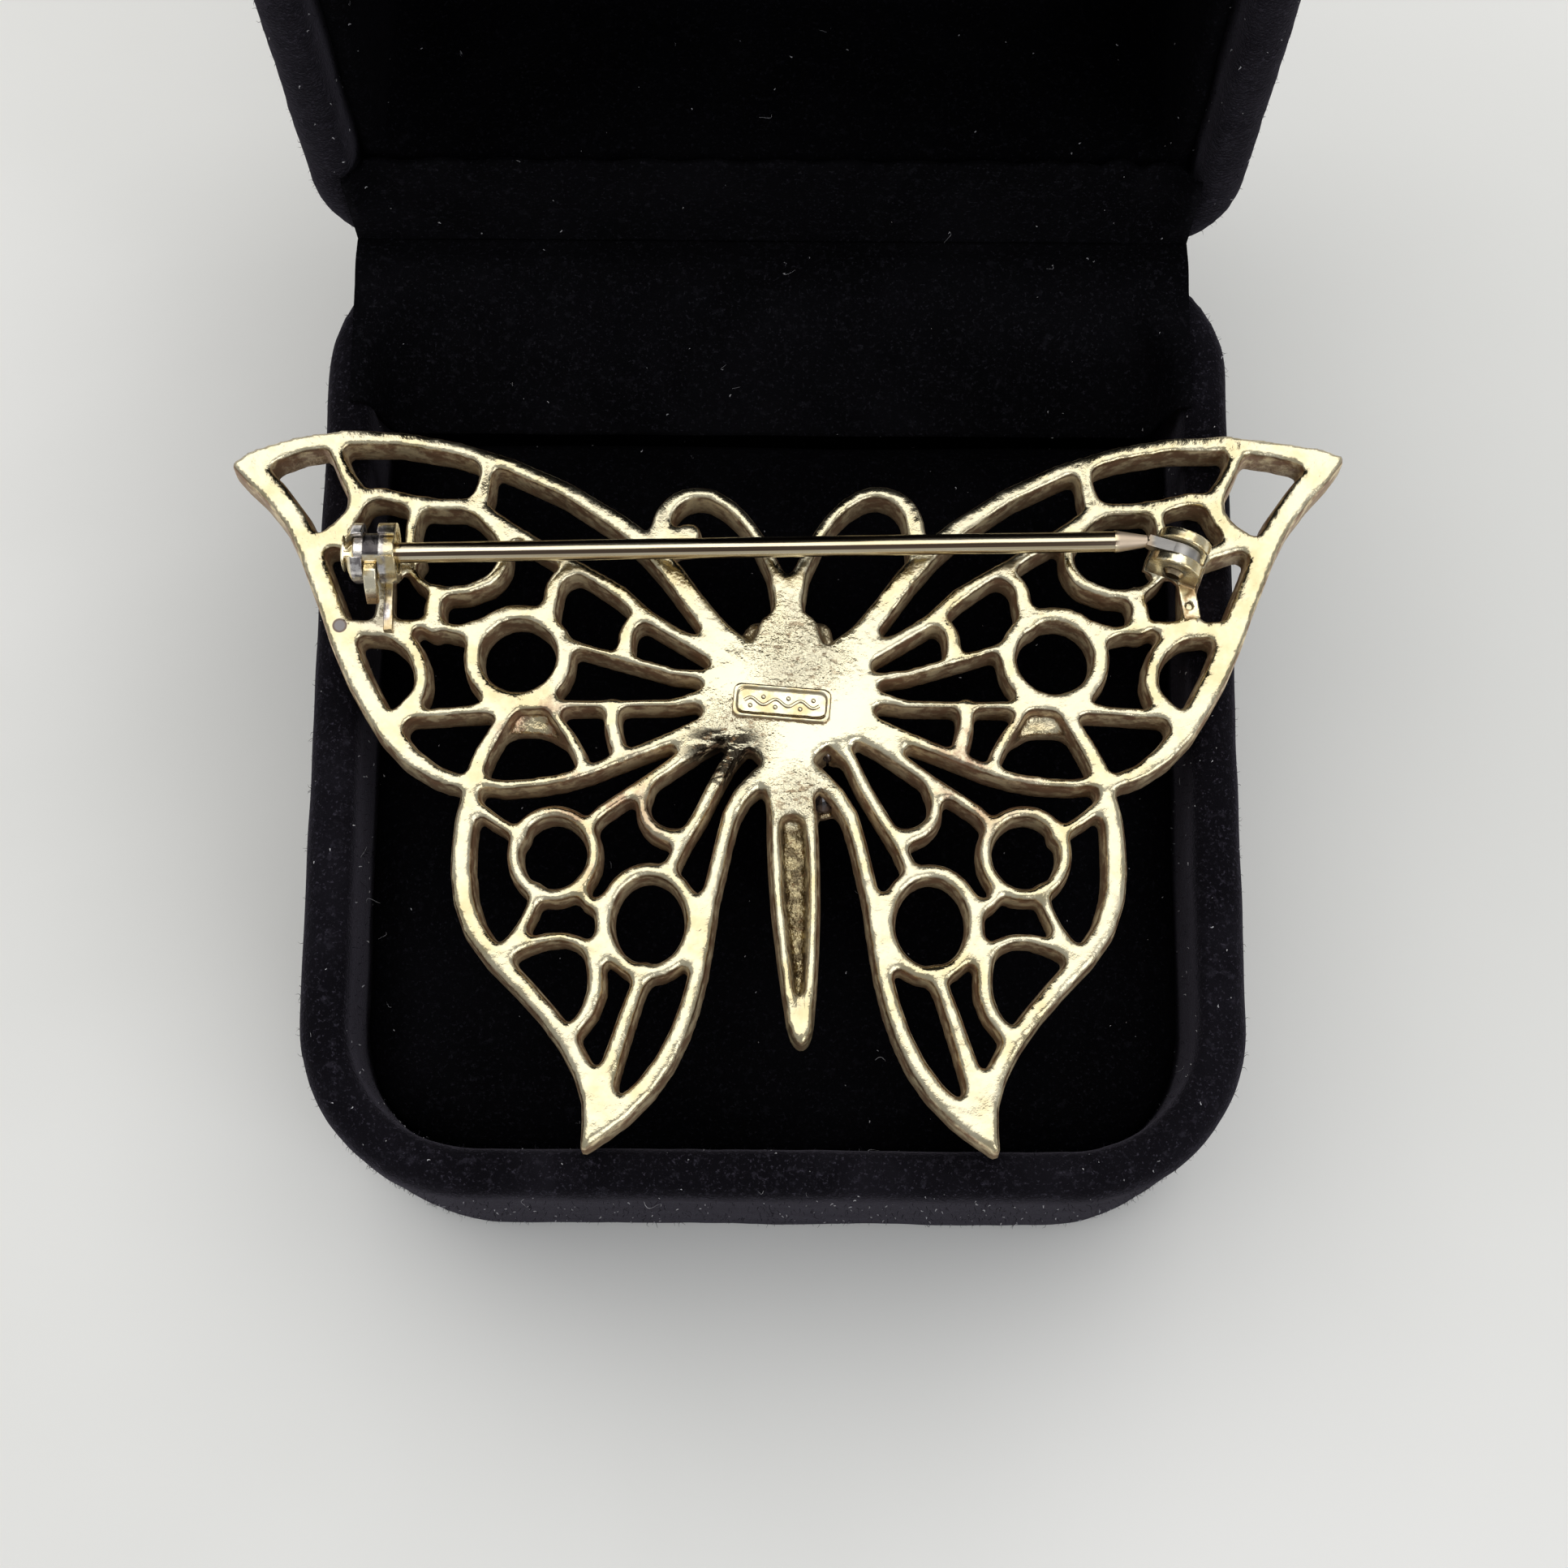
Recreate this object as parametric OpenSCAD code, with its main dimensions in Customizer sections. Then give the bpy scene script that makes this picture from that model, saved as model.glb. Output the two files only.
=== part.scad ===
// Butterfly brooch with a roll-over catch, lying face down across its open velvet ring box.
// Millimetres. The box stands on the XY plane, +X is to its right, +Y is towards the lid.

/* [Butterfly] */
// Width from wing tip to wing tip
span = 60.4; // [54:0.2:66]
// Depth of the pierced casting
metal_t = 2.4; // [2:0.1:3.2]
// Radius of the fillets where strands meet
strand_fillet = 0.3; // [0.1:0.05:0.4]
// Height of the raised nameplate above the back
plate_rise = 0.35; // [0.2:0.05:0.6]
// Turn of the brooch on the box, seen from above
lie_turn = 0.5; // [-1:0.1:1.5]
// Place of the brooch along the box's width
brooch_x = 0.78; // [0:0.02:1.2]
// Place of the brooch along the box's depth
brooch_y = -5.22; // [-6:0.02:-4.5]
// Gap under the brooch where it rests on the rim
rest_gap = 0.1; // [0.05:0.05:0.2]

/* [Pin, hinge and catch] */
// Diameter of the pin wire
pin_d = 1.1; // [0.9:0.05:1.2]
// Height of the pin's axis above the back of the brooch
pin_z = 1.85; // [1.8:0.05:2.2]
// Place of the bend between wire and tongue, as a share of half the span
bend_share = 0.6358; // [0.62:0.0002:0.65]
// Length of the tongue from that bend to the rivet
tongue_reach = 1.85; // [1.8:0.05:2.2]
// Lift of the pin at which the heel of its tongue meets the plate
pin_lift = 55; // [45:1:58]
// Place of the middle of the catch, as a share of half the span
catch_share = 0.7334; // [0.72:0.0002:0.75]
// Turn of the hinge's ears away from the pin
ear_turn = 22; // [15:1:26]
// Radius of the hinge's ears
ear_r = 1.45; // [1.3:0.05:1.6]
// Thickness of each ear
ear_t = 0.6; // [0.5:0.05:0.7]
// Thickness of the pin's flat tongue
tongue_t = 0.6; // [0.56:0.02:0.8]
// Diameter of the rivet
rivet_d = 0.8; // [0.7:0.05:0.9]
// Running clearance of the rivet in its holes
rivet_gap = 0.05; // [0.03:0.01:0.08]
// Side clearance of moving pieces
side_gap = 0.09; // [0.06:0.01:0.12]
// Outside diameter of the catch
catch_d = 3.3; // [3.2:0.05:3.6]
// Bore of the catch, in which the roller turns
catch_bore = 2.26; // [2.2:0.02:2.4]
// Running clearance of the roller in the catch
roller_gap = 0.06; // [0.04:0.01:0.08]
// Bore of the roller, which holds the pin
roller_bore = 1.36; // [1.3:0.02:1.4]
// Length of the roller's tab from the pin's axis
tab_len = 2.7; // [2.4:0.1:2.9]
// Width of the roller's tab
tab_w = 0.66; // [0.5:0.02:0.7]

/* [Stones] */
// Radius of the stone at the waist
waist_r = 0.85; // [0.7:0.05:0.95]
// Radius of the small stone at the shoulder
side_r = 0.48; // [0.4:0.02:0.55]
// Radius of each eye
eye_r = 0.42; // [0.36:0.02:0.46]
// Wall of a stone's setting
bezel_t = 0.2; // [0.15:0.05:0.25]
// Clearance of a stone in its setting
stone_gap = 0.03; // [0.02:0.01:0.05]

/* [Box] */
// Width of the box
box_w = 50.5; // [49:0.5:52]
// Depth of the box from front to hinge
box_d = 53.6; // [52:0.1:56]
// Height of the base
base_h = 20; // [18:0.5:24]
// Height of the lid
lid_h = 18; // [16:0.5:22]
// Width of the lid
lid_w = 51.4; // [50:0.2:52]
// Shift of the lid to the right along the hinge
lid_shift = -0.1; // [-0.6:0.05:0.4]
// Thickness of the side walls
wall_t = 2.7; // [2.4:0.1:3]
// Thickness of the floor and of the lid's roof
floor_t = 2.4; // [2:0.1:3]
// Radius of the front corners
corner_r = 9.5; // [8:0.5:11]
// Radius of the corners at the hinge
rear_r = 7.5; // [6:0.5:9]
// Rounding of the rim's outer edge
rim_r = 1.2; // [0.8:0.1:1.3]
// Depth of the base's cushion below the rim
pad_drop = 5.0; // [4.8:0.1:6]
// Depth of the lid's cushion from its mouth
lid_drop = 12; // [10:0.5:12.5]
// Thickness of the lid's lining at its sides
lining_t = 1.5; // [1.2:0.1:1.8]
// Depth of the lining's edge below the lid's mouth
lining_drop = 1.2; // [1:0.1:1.6]
// Clearance between a cushion and its walls
pad_gap = 0.2; // [0.1:0.05:0.3]
// Width of the step round the base's cushion
pad_step = 1.9; // [1.5:0.1:2.2]
// Angle to which the lid stands open
lid_open = 94; // [92:0.5:95]
// Distance of the hinge line from the back of the box
hinge_in = 1.44; // [1.4:0.02:1.6]
// Depth of the hinge line below the rim
hinge_down = 1.74; // [1.7:0.02:1.9]
// Width of the cloth flap over the hinge
flap_w = 46.8; // [46:0.2:47.2]
// Shift of that flap to the right
flap_shift = -0.35; // [-0.5:0.05:0.5]
// Thickness of the cloth flap
flap_t = 0.5; // [0.4:0.05:0.6]
// Reach of the flap into the base
flap_reach = 9.5; // [8:0.5:10]
// Reach of the flap into the lid
lid_reach = 9.5; // [8:0.5:10]
// Gap of the flap to what it lies on and to the hinge line
flap_gap = 0.1; // [0.05:0.05:0.15]

/* [Hidden] */
$fn = 48;
eps = 0.01;
half = span / 2;
bend_x = bend_share * half;
catch_x = catch_share * half;
back_z = base_h + rest_gap + metal_t;
flap_neck = 0.56;   // width of the straight run of the rear wall that the flap crosses
pad_cap = 1;        // thickness of the cushion's narrower top
pad_lap = 0.2;      // how far that top runs down into the cushion
turn_step = 15;    // degrees by which a strand turns from one facet to the next
ring_sides = 24;
fillet_sides = 8;

// Every strand is a row of points [across, up, width], all as shares of half the span,
// measured from the point on the body's axis that is level with the notch between the wings.
tip_u = 1.0;
tip_v = 0.597;
tip_w = 0.008;
upper_strands = [
    // upper rim, from the tip to the shoulder
    [[tip_u, tip_v, tip_w], [0.965, 0.600, 0.045], [0.93, 0.618, 0.036], [0.88, 0.635, 0.032],
     [0.80, 0.647, 0.030], [0.70, 0.645, 0.027], [0.60, 0.627, 0.026], [0.50, 0.595, 0.027],
     [0.40, 0.549, 0.029], [0.30, 0.484, 0.033], [0.25, 0.443, 0.036], [0.205, 0.391, 0.038],
     [0.165, 0.335, 0.038], [0.125, 0.283, 0.042], [0.08, 0.235, 0.06]],
    // outer rim, from the tip to the notch
    [[tip_u, tip_v, tip_w], [0.965, 0.585, 0.045], [0.925, 0.547, 0.044], [0.885, 0.495, 0.042],
     [0.858, 0.44, 0.042], [0.838, 0.388, 0.042], [0.815, 0.33, 0.042], [0.795, 0.275, 0.044],
     [0.765, 0.205, 0.042], [0.735, 0.15, 0.040], [0.705, 0.10, 0.038], [0.665, 0.055, 0.034],
     [0.62, 0.024, 0.028], [0.57, 0.007, 0.024]],
    // lower rim of the upper wing, from the notch to the body
    [[0.60, 0.014, 0.024], [0.55, 0.010, 0.020], [0.50, 0.003, 0.018], [0.45, 0.006, 0.018],
     [0.40, 0.014, 0.018], [0.35, 0.029, 0.019], [0.30, 0.050, 0.020], [0.25, 0.070, 0.021],
     [0.20, 0.090, 0.024], [0.12, 0.12, 0.04]],
    // first vein, which runs on over the first ring
    [[0.08, 0.222, 0.05], [0.15, 0.252, 0.028], [0.20, 0.279, 0.022], [0.25, 0.311, 0.024],
     [0.30, 0.356, 0.026], [0.35, 0.388, 0.022], [0.40, 0.415, 0.022], [0.45, 0.446, 0.022],
     [0.50, 0.475, 0.026], [0.545, 0.505, 0.030], [0.58, 0.520, 0.026], [0.63, 0.520, 0.026],
     [0.68, 0.528, 0.026], [0.73, 0.540, 0.026], [0.765, 0.535, 0.032]],
    // second vein
    [[0.08, 0.203, 0.04], [0.16, 0.203, 0.016], [0.20, 0.207, 0.014], [0.25, 0.222, 0.014],
     [0.30, 0.236, 0.014], [0.35, 0.250, 0.013], [0.39, 0.264, 0.013], [0.415, 0.285, 0.014]],
    // third vein, level across the wing
    [[0.08, 0.175, 0.06], [0.14, 0.167, 0.028], [0.20, 0.152, 0.015], [0.30, 0.150, 0.013],
     [0.40, 0.149, 0.016], [0.48, 0.150, 0.028], [0.55, 0.140, 0.020], [0.62, 0.134, 0.016],
     [0.68, 0.130, 0.016], [0.71, 0.128, 0.016]],
    // scallop inside the tip
    [[0.82, 0.632, 0.022], [0.80, 0.585, 0.024], [0.78, 0.552, 0.030], [0.775, 0.527, 0.034],
     [0.782, 0.50, 0.030], [0.802, 0.475, 0.034], [0.835, 0.452, 0.030]],
    // bar from the scallop to the first ring, under the findings
    [[0.85, 0.445, 0.020], [0.81, 0.453, 0.028], [0.775, 0.44, 0.026], [0.74, 0.425, 0.024],
     [0.70, 0.42, 0.024], [0.665, 0.42, 0.024]],
    // spur from the rim to the first ring
    [[0.545, 0.61, 0.02], [0.543, 0.575, 0.024], [0.548, 0.545, 0.030], [0.56, 0.52, 0.034]],
    // first ring, inner and lower side
    [[0.545, 0.500, 0.026], [0.519, 0.468, 0.022], [0.508, 0.438, 0.020], [0.512, 0.405, 0.022],
     [0.535, 0.376, 0.022], [0.575, 0.360, 0.020], [0.615, 0.357, 0.018], [0.648, 0.370, 0.014],
     [0.672, 0.396, 0.014], [0.677, 0.43, 0.018], [0.676, 0.47, 0.020], [0.672, 0.500, 0.022],
     [0.665, 0.522, 0.022]],
    // post below the first ring
    [[0.625, 0.36, 0.026], [0.633, 0.33, 0.032], [0.630, 0.295, 0.034]],
    // bar over the third row of openings
    [[0.55, 0.292, 0.03], [0.585, 0.286, 0.020], [0.62, 0.293, 0.017], [0.66, 0.298, 0.016],
     [0.70, 0.298, 0.018], [0.73, 0.296, 0.024]],
    // half loop at the outer rim
    [[0.785, 0.29, 0.03], [0.755, 0.289, 0.030], [0.72, 0.288, 0.032], [0.69, 0.277, 0.032],
     [0.666, 0.252, 0.028], [0.653, 0.222, 0.026], [0.649, 0.190, 0.026], [0.658, 0.162, 0.026],
     [0.677, 0.140, 0.028], [0.692, 0.118, 0.030]],
    // post of the hinge and of the catch
    [[0.728, 0.43, 0.026], [0.722, 0.37, 0.024], [0.722, 0.325, 0.026], [0.728, 0.29, 0.030]],
    // loop from the second ring up to the first vein
    [[0.43, 0.30, 0.030], [0.424, 0.335, 0.028], [0.420, 0.365, 0.027], [0.403, 0.390, 0.025],
     [0.372, 0.402, 0.020]],
    // hook between the first and second veins
    [[0.255, 0.315, 0.020], [0.278, 0.298, 0.024], [0.288, 0.277, 0.026], [0.290, 0.240, 0.026]],
    // legs of the arch over the lower rim
    [[0.554, 0.008, 0.031], [0.547, 0.038, 0.030], [0.535, 0.067, 0.028], [0.519, 0.095, 0.026],
     [0.498, 0.130, 0.022]],
    [[0.358, 0.030, 0.018], [0.369, 0.062, 0.020], [0.385, 0.091, 0.019], [0.405, 0.118, 0.016],
     [0.42, 0.140, 0.014]],
    // bar between the third vein and the lower rim
    [[0.312, 0.150, 0.024], [0.311, 0.110, 0.026], [0.303, 0.078, 0.027], [0.294, 0.055, 0.020]],
];
lower_strands = [
    // outer rim of the lower wing, from the notch to the tail
    [[0.550, 0.012, 0.024], [0.560, -0.02, 0.030], [0.567, -0.06, 0.034], [0.570, -0.10, 0.036],
     [0.571, -0.15, 0.037], [0.565, -0.20, 0.037], [0.548, -0.25, 0.036], [0.512, -0.30, 0.034],
     [0.460, -0.353, 0.032], [0.418, -0.40, 0.031], [0.380, -0.45, 0.033], [0.353, -0.50, 0.034],
     [0.337, -0.55, 0.036], [0.337, -0.595, 0.034], [0.352, -0.632, 0.008]],
    // inner rim of the lower wing, from the tail to the body
    [[0.352, -0.632, 0.008], [0.325, -0.595, 0.040], [0.290, -0.570, 0.038], [0.248, -0.530, 0.034],
     [0.215, -0.485, 0.032], [0.190, -0.435, 0.030], [0.172, -0.385, 0.029], [0.158, -0.33, 0.028],
     [0.146, -0.26, 0.027], [0.138, -0.20, 0.027], [0.126, -0.15, 0.027], [0.115, -0.10, 0.026],
     [0.102, -0.05, 0.027], [0.082, -0.013, 0.029], [0.050, 0.018, 0.034], [0.0, 0.04, 0.05]],
    // fourth vein, to the third ring
    [[0.12, 0.11, 0.05], [0.16, 0.076, 0.030], [0.20, 0.044, 0.022], [0.25, 0.009, 0.021],
     [0.30, -0.024, 0.020], [0.33, -0.045, 0.020], [0.352, -0.070, 0.020]],
    // fifth vein, to the fourth ring
    [[0.07, 0.10, 0.04], [0.105, 0.050, 0.021], [0.132, 0.0, 0.022], [0.156, -0.05, 0.022],
     [0.186, -0.10, 0.022], [0.210, -0.150, 0.022]],
    // hook between the fourth and fifth veins
    [[0.243, 0.010, 0.016], [0.256, -0.025, 0.018], [0.252, -0.055, 0.022], [0.232, -0.079, 0.025],
     [0.205, -0.088, 0.026], [0.180, -0.085, 0.020]],
    // link from the outer rim to the third ring
    [[0.465, -0.088, 0.020], [0.487, -0.075, 0.017], [0.515, -0.058, 0.018], [0.545, -0.035, 0.020]],
    // link from the third ring to the fourth
    [[0.360, -0.165, 0.018], [0.357, -0.193, 0.018], [0.339, -0.210, 0.018], [0.312, -0.198, 0.020]],
    // post between those links and the half ring
    [[0.326, -0.205, 0.022], [0.324, -0.25, 0.023], [0.327, -0.30, 0.026]],
    // post from the third ring to the outer rim
    [[0.438, -0.180, 0.020], [0.448, -0.217, 0.018], [0.463, -0.248, 0.018], [0.490, -0.290, 0.026]],
    // half ring at the outer rim
    [[0.505, -0.298, 0.028], [0.458, -0.279, 0.020], [0.42, -0.268, 0.016], [0.39, -0.267, 0.016],
     [0.36, -0.277, 0.018], [0.341, -0.297, 0.024], [0.334, -0.330, 0.028], [0.334, -0.362, 0.028],
     [0.346, -0.397, 0.026], [0.376, -0.438, 0.022]],
    // bar from the fourth ring into the tail
    [[0.250, -0.325, 0.03], [0.264, -0.360, 0.024], [0.278, -0.40, 0.027], [0.294, -0.45, 0.029],
     [0.310, -0.50, 0.033], [0.322, -0.56, 0.032]],
];

// Antenna, from the fork to the wing's rim, as above.
antenna = [[0.012, 0.37, 0.026], [0.030, 0.41, 0.024], [0.052, 0.455, 0.021], [0.078, 0.492, 0.021],
           [0.105, 0.519, 0.022], [0.135, 0.537, 0.022], [0.165, 0.541, 0.023], [0.195, 0.532, 0.026],
           [0.217, 0.510, 0.030], [0.228, 0.48, 0.033], [0.232, 0.42, 0.032]];

// The right wings differ a little from the left ones, as hand-made ones do: how far a point
// at [share of half span] lies further out, for the upper and the lower wing, and their heights
upper_out = [[0, 0], [0.1, 0.006], [0.25, 0.006], [0.48, -0.006], [0.8, -0.006], [0.92, -0.001], [1, 0.002]];
lower_out = [[0, 0], [0.12, 0.008], [0.24, 0.004], [0.41, 0.003], [0.57, 0.001]];
right_tall = [0.978, 1.016];
tip_rise = 0.020;
tip_from = 0.9;
bow_from = 0.06;

// Round rings of the wings: [across, up, radius across, radius up, width], shares of half the span.
upper_rings = [[0.479, 0.238, 0.083, 0.081, 0.029]];
lower_rings = [[0.410, -0.119, 0.071, 0.075, 0.022], [0.243, -0.239, 0.077, 0.091, 0.025]];

// Parts of the lattice that lie below the back: [across, up, width] as above.
sunk_strands = [
    [[0.525, 0.095, 0.020], [0.495, 0.118, 0.032], [0.455, 0.123, 0.036], [0.420, 0.115, 0.030],
     [0.392, 0.092, 0.018]],
];
upper_drop = 0.04;  // the upper and the lower wings lie a trace below the body's back
lower_drop = 0.08;
sunk_share = 0.45;  // how far below the back these lie, as a share of the casting's depth

// Half of the thorax, head and neck: [across, up], shares of half the span.
body_outline = [
    [0.0, 0.382], [0.022, 0.398], [0.036, 0.396], [0.031, 0.37], [0.027, 0.34], [0.027, 0.318],
    [0.046, 0.306], [0.055, 0.286], [0.060, 0.258], [0.10, 0.235], [0.118, 0.215], [0.122, 0.19],
    [0.140, 0.170], [0.150, 0.145], [0.155, 0.115], [0.125, 0.092], [0.085, 0.086], [0.062, 0.066],
    [0.045, 0.050], [0.038, 0.02], [0.036, -0.03], [0.0, -0.03],
];

// Abdomen, which leans a little: [up, middle, half width], shares of half the span.
abdomen_rows = [
    [0.06, 0.0, 0.034], [-0.02, 0.006, 0.039], [-0.08, 0.009, 0.041], [-0.15, 0.011, 0.041],
    [-0.22, 0.013, 0.039], [-0.30, 0.016, 0.033], [-0.37, 0.018, 0.026], [-0.42, 0.0195, 0.020],
    [-0.445, 0.0205, 0.013], [-0.456, 0.021, 0.004],
];
// The hollow in its back: [up, middle, half width], and its depth as a share of the casting's.
hollow_rows = [
    [-0.052, 0.006, 0.010], [-0.06, 0.006, 0.021], [-0.10, 0.009, 0.023], [-0.15, 0.011, 0.023],
    [-0.22, 0.013, 0.020], [-0.30, 0.016, 0.015], [-0.37, 0.018, 0.009], [-0.42, 0.0195, 0.006],
    [-0.440, 0.020, 0.002],
];
hollow_share = 0.55;

// Round front of the body: [up, radius], shares of half the span.
front_rows = [
    [0.335, 0.0], [0.325, 0.018], [0.30, 0.034], [0.27, 0.043], [0.235, 0.040], [0.20, 0.055],
    [0.15, 0.062], [0.10, 0.055], [0.06, 0.038], [0.0, 0.036], [-0.08, 0.039], [-0.15, 0.039],
    [-0.22, 0.037], [-0.30, 0.031], [-0.37, 0.024], [-0.42, 0.018], [-0.45, 0.0],
];
front_axis_share = 0.8;   // depth of that round front's axis, as a share of the casting's
front_lean = -2.4;        // degrees by which the abdomen leans

// Curl at the end of the left antenna: [across, up, radius].
curl = [-0.178, 0.462, 0.022];

// Nameplate on the thorax: middle, size, corner, turn, border and panel depth.
plate_mid = [-0.0115, 0.147];
plate_size = [0.173, 0.061];
plate_corner = 0.014;
plate_turn = -5;
plate_border = 0.007;
panel_share = 0.4;

// Findings
findings_v = 0.427;        // height of the pin's bend on the wing, share of half span
findings_drop = 0.020;     // how much lower the catch end lies, share of half span
catch_len = 2.7;           // whole length of the catch
catch_gap_mid = tab_w + 2 * side_gap;
catch_left = 0.95;         // length of the closed cheek at the pin's point
catch_right = catch_len - catch_left - catch_gap_mid;
catch_floor = 0.5;         // thickness of the catch's foot
dome_r = catch_d * 0.66;
dome_share = 0.82;         // share of its radius by which the dome is let into the cheek
mouth_play = 0.18;
mouth_w = pin_d + mouth_play;   // width of the catch's mouth
foot_w = catch_d * 0.58;   // width of the catch's foot
bore_over = 0.4;           // how far the catch's bore runs on into the lattice
tongue_back = 1.05;        // radius of the tongue's eye
taper_len = 1.8;           // matt taper between wire and tongue
taper_step = 0.1;
taper_d = pin_d + taper_step;   // its thick end, a trace wider than the wire
bracket_t = 0.45;          // thickness of the hinge's base plate
plate_margin = 0.15;       // how far that plate stands out past the ears
rivet_drop = 0.35;         // how much lower the rivet is than the pin
heel_gap = 0.06;           // gap of the tongue's heel over the plate at full lift
hinge_z = pin_z - rivet_drop;   // height of the rivet above the back
heel_r = hinge_z - heel_gap;    // reach of the tongue's heel from the rivet
rivet_head_r = rivet_d * 0.72;
rivet_head_t = 0.22;
head_gap = 0.05;           // gap of each rivet head to its ear
pit_d = 0.45;
tab_shape = [[-0.26, -0.10], [-0.26, 0.30], [-0.34, 0.42], [-0.48, 0.46], [-0.64, 0.40], [-0.80, 0.24],
             [-0.93, 0.02], [-1.0, -0.16], [-0.92, -0.24], [-0.80, -0.16], [-0.66, 0.04], [-0.50, 0.14],
             [-0.40, 0.06], [-0.34, -0.10]];   // outline of the roller's tab, in shares of its length
tail_at = [0.703, 0.299];  // place of the bracket's tail, in shares of half the span
tail_turn = 8;
tail_size = [0.9, 2.3];
tail_rise = 0.25;          // how far the tail stands above the back
strap_w = 0.5;             // the catch's strap, down to the lower bar of the lattice
strap_len = 0.109 * half;
strap_end = 0.129 * half;
foot_sink = 0.35;          // the catch's foot and strap are let this far into the lattice
strap_t = 0.55;
cheek_wall = 0.35;         // end wall of the bore, at the pin's point

pin_slope = atan(findings_drop * half / (bend_x + catch_x));
stem_from = bend_x - taper_len;
stem_tip = catch_x + catch_len / 2 - catch_left * 0.55;

function mix(a, b, t) = a + (b - a) * t;
// Point on a smooth curve through a row of points, t from 0 to 1 between p1 and p2
function curve_at(p0, p1, p2, p3, t) =
    0.5 * (2 * p1 + (p2 - p0) * t + (2 * p0 - 5 * p1 + 4 * p2 - p3) * t * t
           + (3 * p1 - 3 * p2 + p3 - p0) * t * t * t);
function at(rows, i) = rows[max(0, min(len(rows) - 1, i))];
function heading(rows, i) =
    let (d = at(rows, i + 1) - at(rows, i - 1), n = norm([d[0], d[1]])) [d[0] / n, d[1] / n];
function turn(rows, i) = acos(min(1, heading(rows, i) * heading(rows, i + 1)));
function curve(rows) = concat(
    [for (i = [0 : len(rows) - 2], n = [max(1, round(turn(rows, i) / turn_step))], k = [0 : n - 1])
        curve_at(at(rows, i - 1), at(rows, i), at(rows, i + 1), at(rows, i + 2), k / n)],
    [rows[len(rows) - 1]]);
function edge(rows, side) = [for (i = [0 : len(rows) - 1])
    let (h = heading(rows, i), w = side * rows[i][2] / 2)
        [rows[i][0] - h[1] * w, rows[i][1] + h[0] * w]];
function reversed(list) = [for (i = [len(list) - 1 : -1 : 0]) list[i]];
function arc(cx, cy, r, a0, a1, n) =
    [for (i = [0 : n]) let (a = mix(a0, a1, i / n)) [cx + r * cos(a), cy + r * sin(a)]];

// A row's place on the right wing
function right_fit(row) =
    let (out = lookup(row[0], row[1] > 0 ? upper_out : lower_out) * min(1, abs(row[1]) / bow_from),
         rise = tip_rise * max(0, (row[0] - tip_from) / (1 - tip_from)))
    concat([row[0] + out, row[1] * (row[1] > 0 ? right_tall[0] : right_tall[1]) + rise],
           [for (i = [2 : len(row) - 1]) row[i]]);

// One strand of the lattice with round ends
module strand(rows) {
    line = curve(rows);
    last = line[len(line) - 1];
    polygon(half * concat(edge(line, 1), reversed(edge(line, -1))));
    for (p = [line[0], last])
        translate(half * [p[0], p[1]])
            circle(d = half * p[2], $fn = fillet_sides);
}

module ring(row) {
    translate(half * [row[0], row[1]])
        difference() {
            scale([row[2] + row[4] / 2, row[3] + row[4] / 2] * half)
                circle(r = 1, $fn = ring_sides);
            scale([row[2] - row[4] / 2, row[3] - row[4] / 2] * half)
                circle(r = 1, $fn = ring_sides);
        }
}

// Outline from rows of [up, middle, half width]
module spindle_outline(rows) {
    polygon(half * concat([for (r = rows) [r[1] + r[2], r[0]]],
                          reversed([for (r = rows) [r[1] - r[2], r[0]]])));
}

module lattice(strands, rings) {
    offset(r = -strand_fillet, $fn = fillet_sides)
        offset(delta = strand_fillet)
            union() {
                for (rows = strands)
                    strand(rows);
                for (row = rings)
                    ring(row);
            }
}

// One wing's lattice, side = 1 on the right and -1 on the left
module wing(side, strands, rings) {
    if (side > 0)
        lattice([for (rows = strands) [for (p = rows) right_fit(p)]], [for (r = rings) right_fit(r)]);
    else
        mirror([1, 0])
            lattice(strands, rings);
}

module body_plan() {
    for (side = [0, 1])
        mirror([side, 0]) {
            strand(antenna);
            polygon(half * body_outline);
        }
    spindle_outline(abdomen_rows);
    translate(half * [curl[0], curl[1]])
        circle(r = half * curl[2], $fn = ring_sides);
    strand([[curl[0], curl[1], 0.022], [-0.200, 0.448, 0.022], [-0.225, 0.44, 0.026]]);
}

// A slab from a level below the back down to another one
module slab(top, bottom) {
    translate([0, 0, -bottom])
        linear_extrude(bottom - top)
            children();
}

module plate_outline(inset) {
    w = plate_size[0] * half - 2 * inset;
    h = plate_size[1] * half - 2 * inset;
    r = plate_corner * half;
    translate(half * plate_mid)
        rotate(plate_turn) {
            square([w - 2 * r, h], center = true);
            square([w, h - 2 * r], center = true);
            for (sx = [-1, 1], sy = [-1, 1])
                translate([sx * (w / 2 - r), sy * (h / 2 - r)])
                    circle(r = r);
        }
}

module nameplate() {
    difference() {
        translate([0, 0, -eps])
            linear_extrude(plate_rise + eps)
                plate_outline(0);
        translate([0, 0, plate_rise * (1 - panel_share)])
            linear_extrude(plate_rise)
                plate_outline(plate_border * half);
    }
}

// Round front of head, thorax and abdomen, which faces down into the box
module round_front() {
    intersection() {
        translate([0, 0, -metal_t * front_axis_share])
            rotate([90, 0, 0])
                mirror([0, 0, 1])
                    rotate([0, front_lean, 0])
                        rotate_extrude()
                            polygon(half * [for (r = reversed(front_rows)) [r[1], r[0]]]);
        translate([-half, -half, -half - metal_t / 2])
            cube([span, span, half]);
    }
}

// The frame of the findings: the pin's axis along X at pin_z, seen from the back
module pin_frame() {
    translate([bend_x, findings_v * half, 0])
        rotate([0, 0, pin_slope])
            translate([-bend_x, 0, 0])
                children();
}

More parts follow.
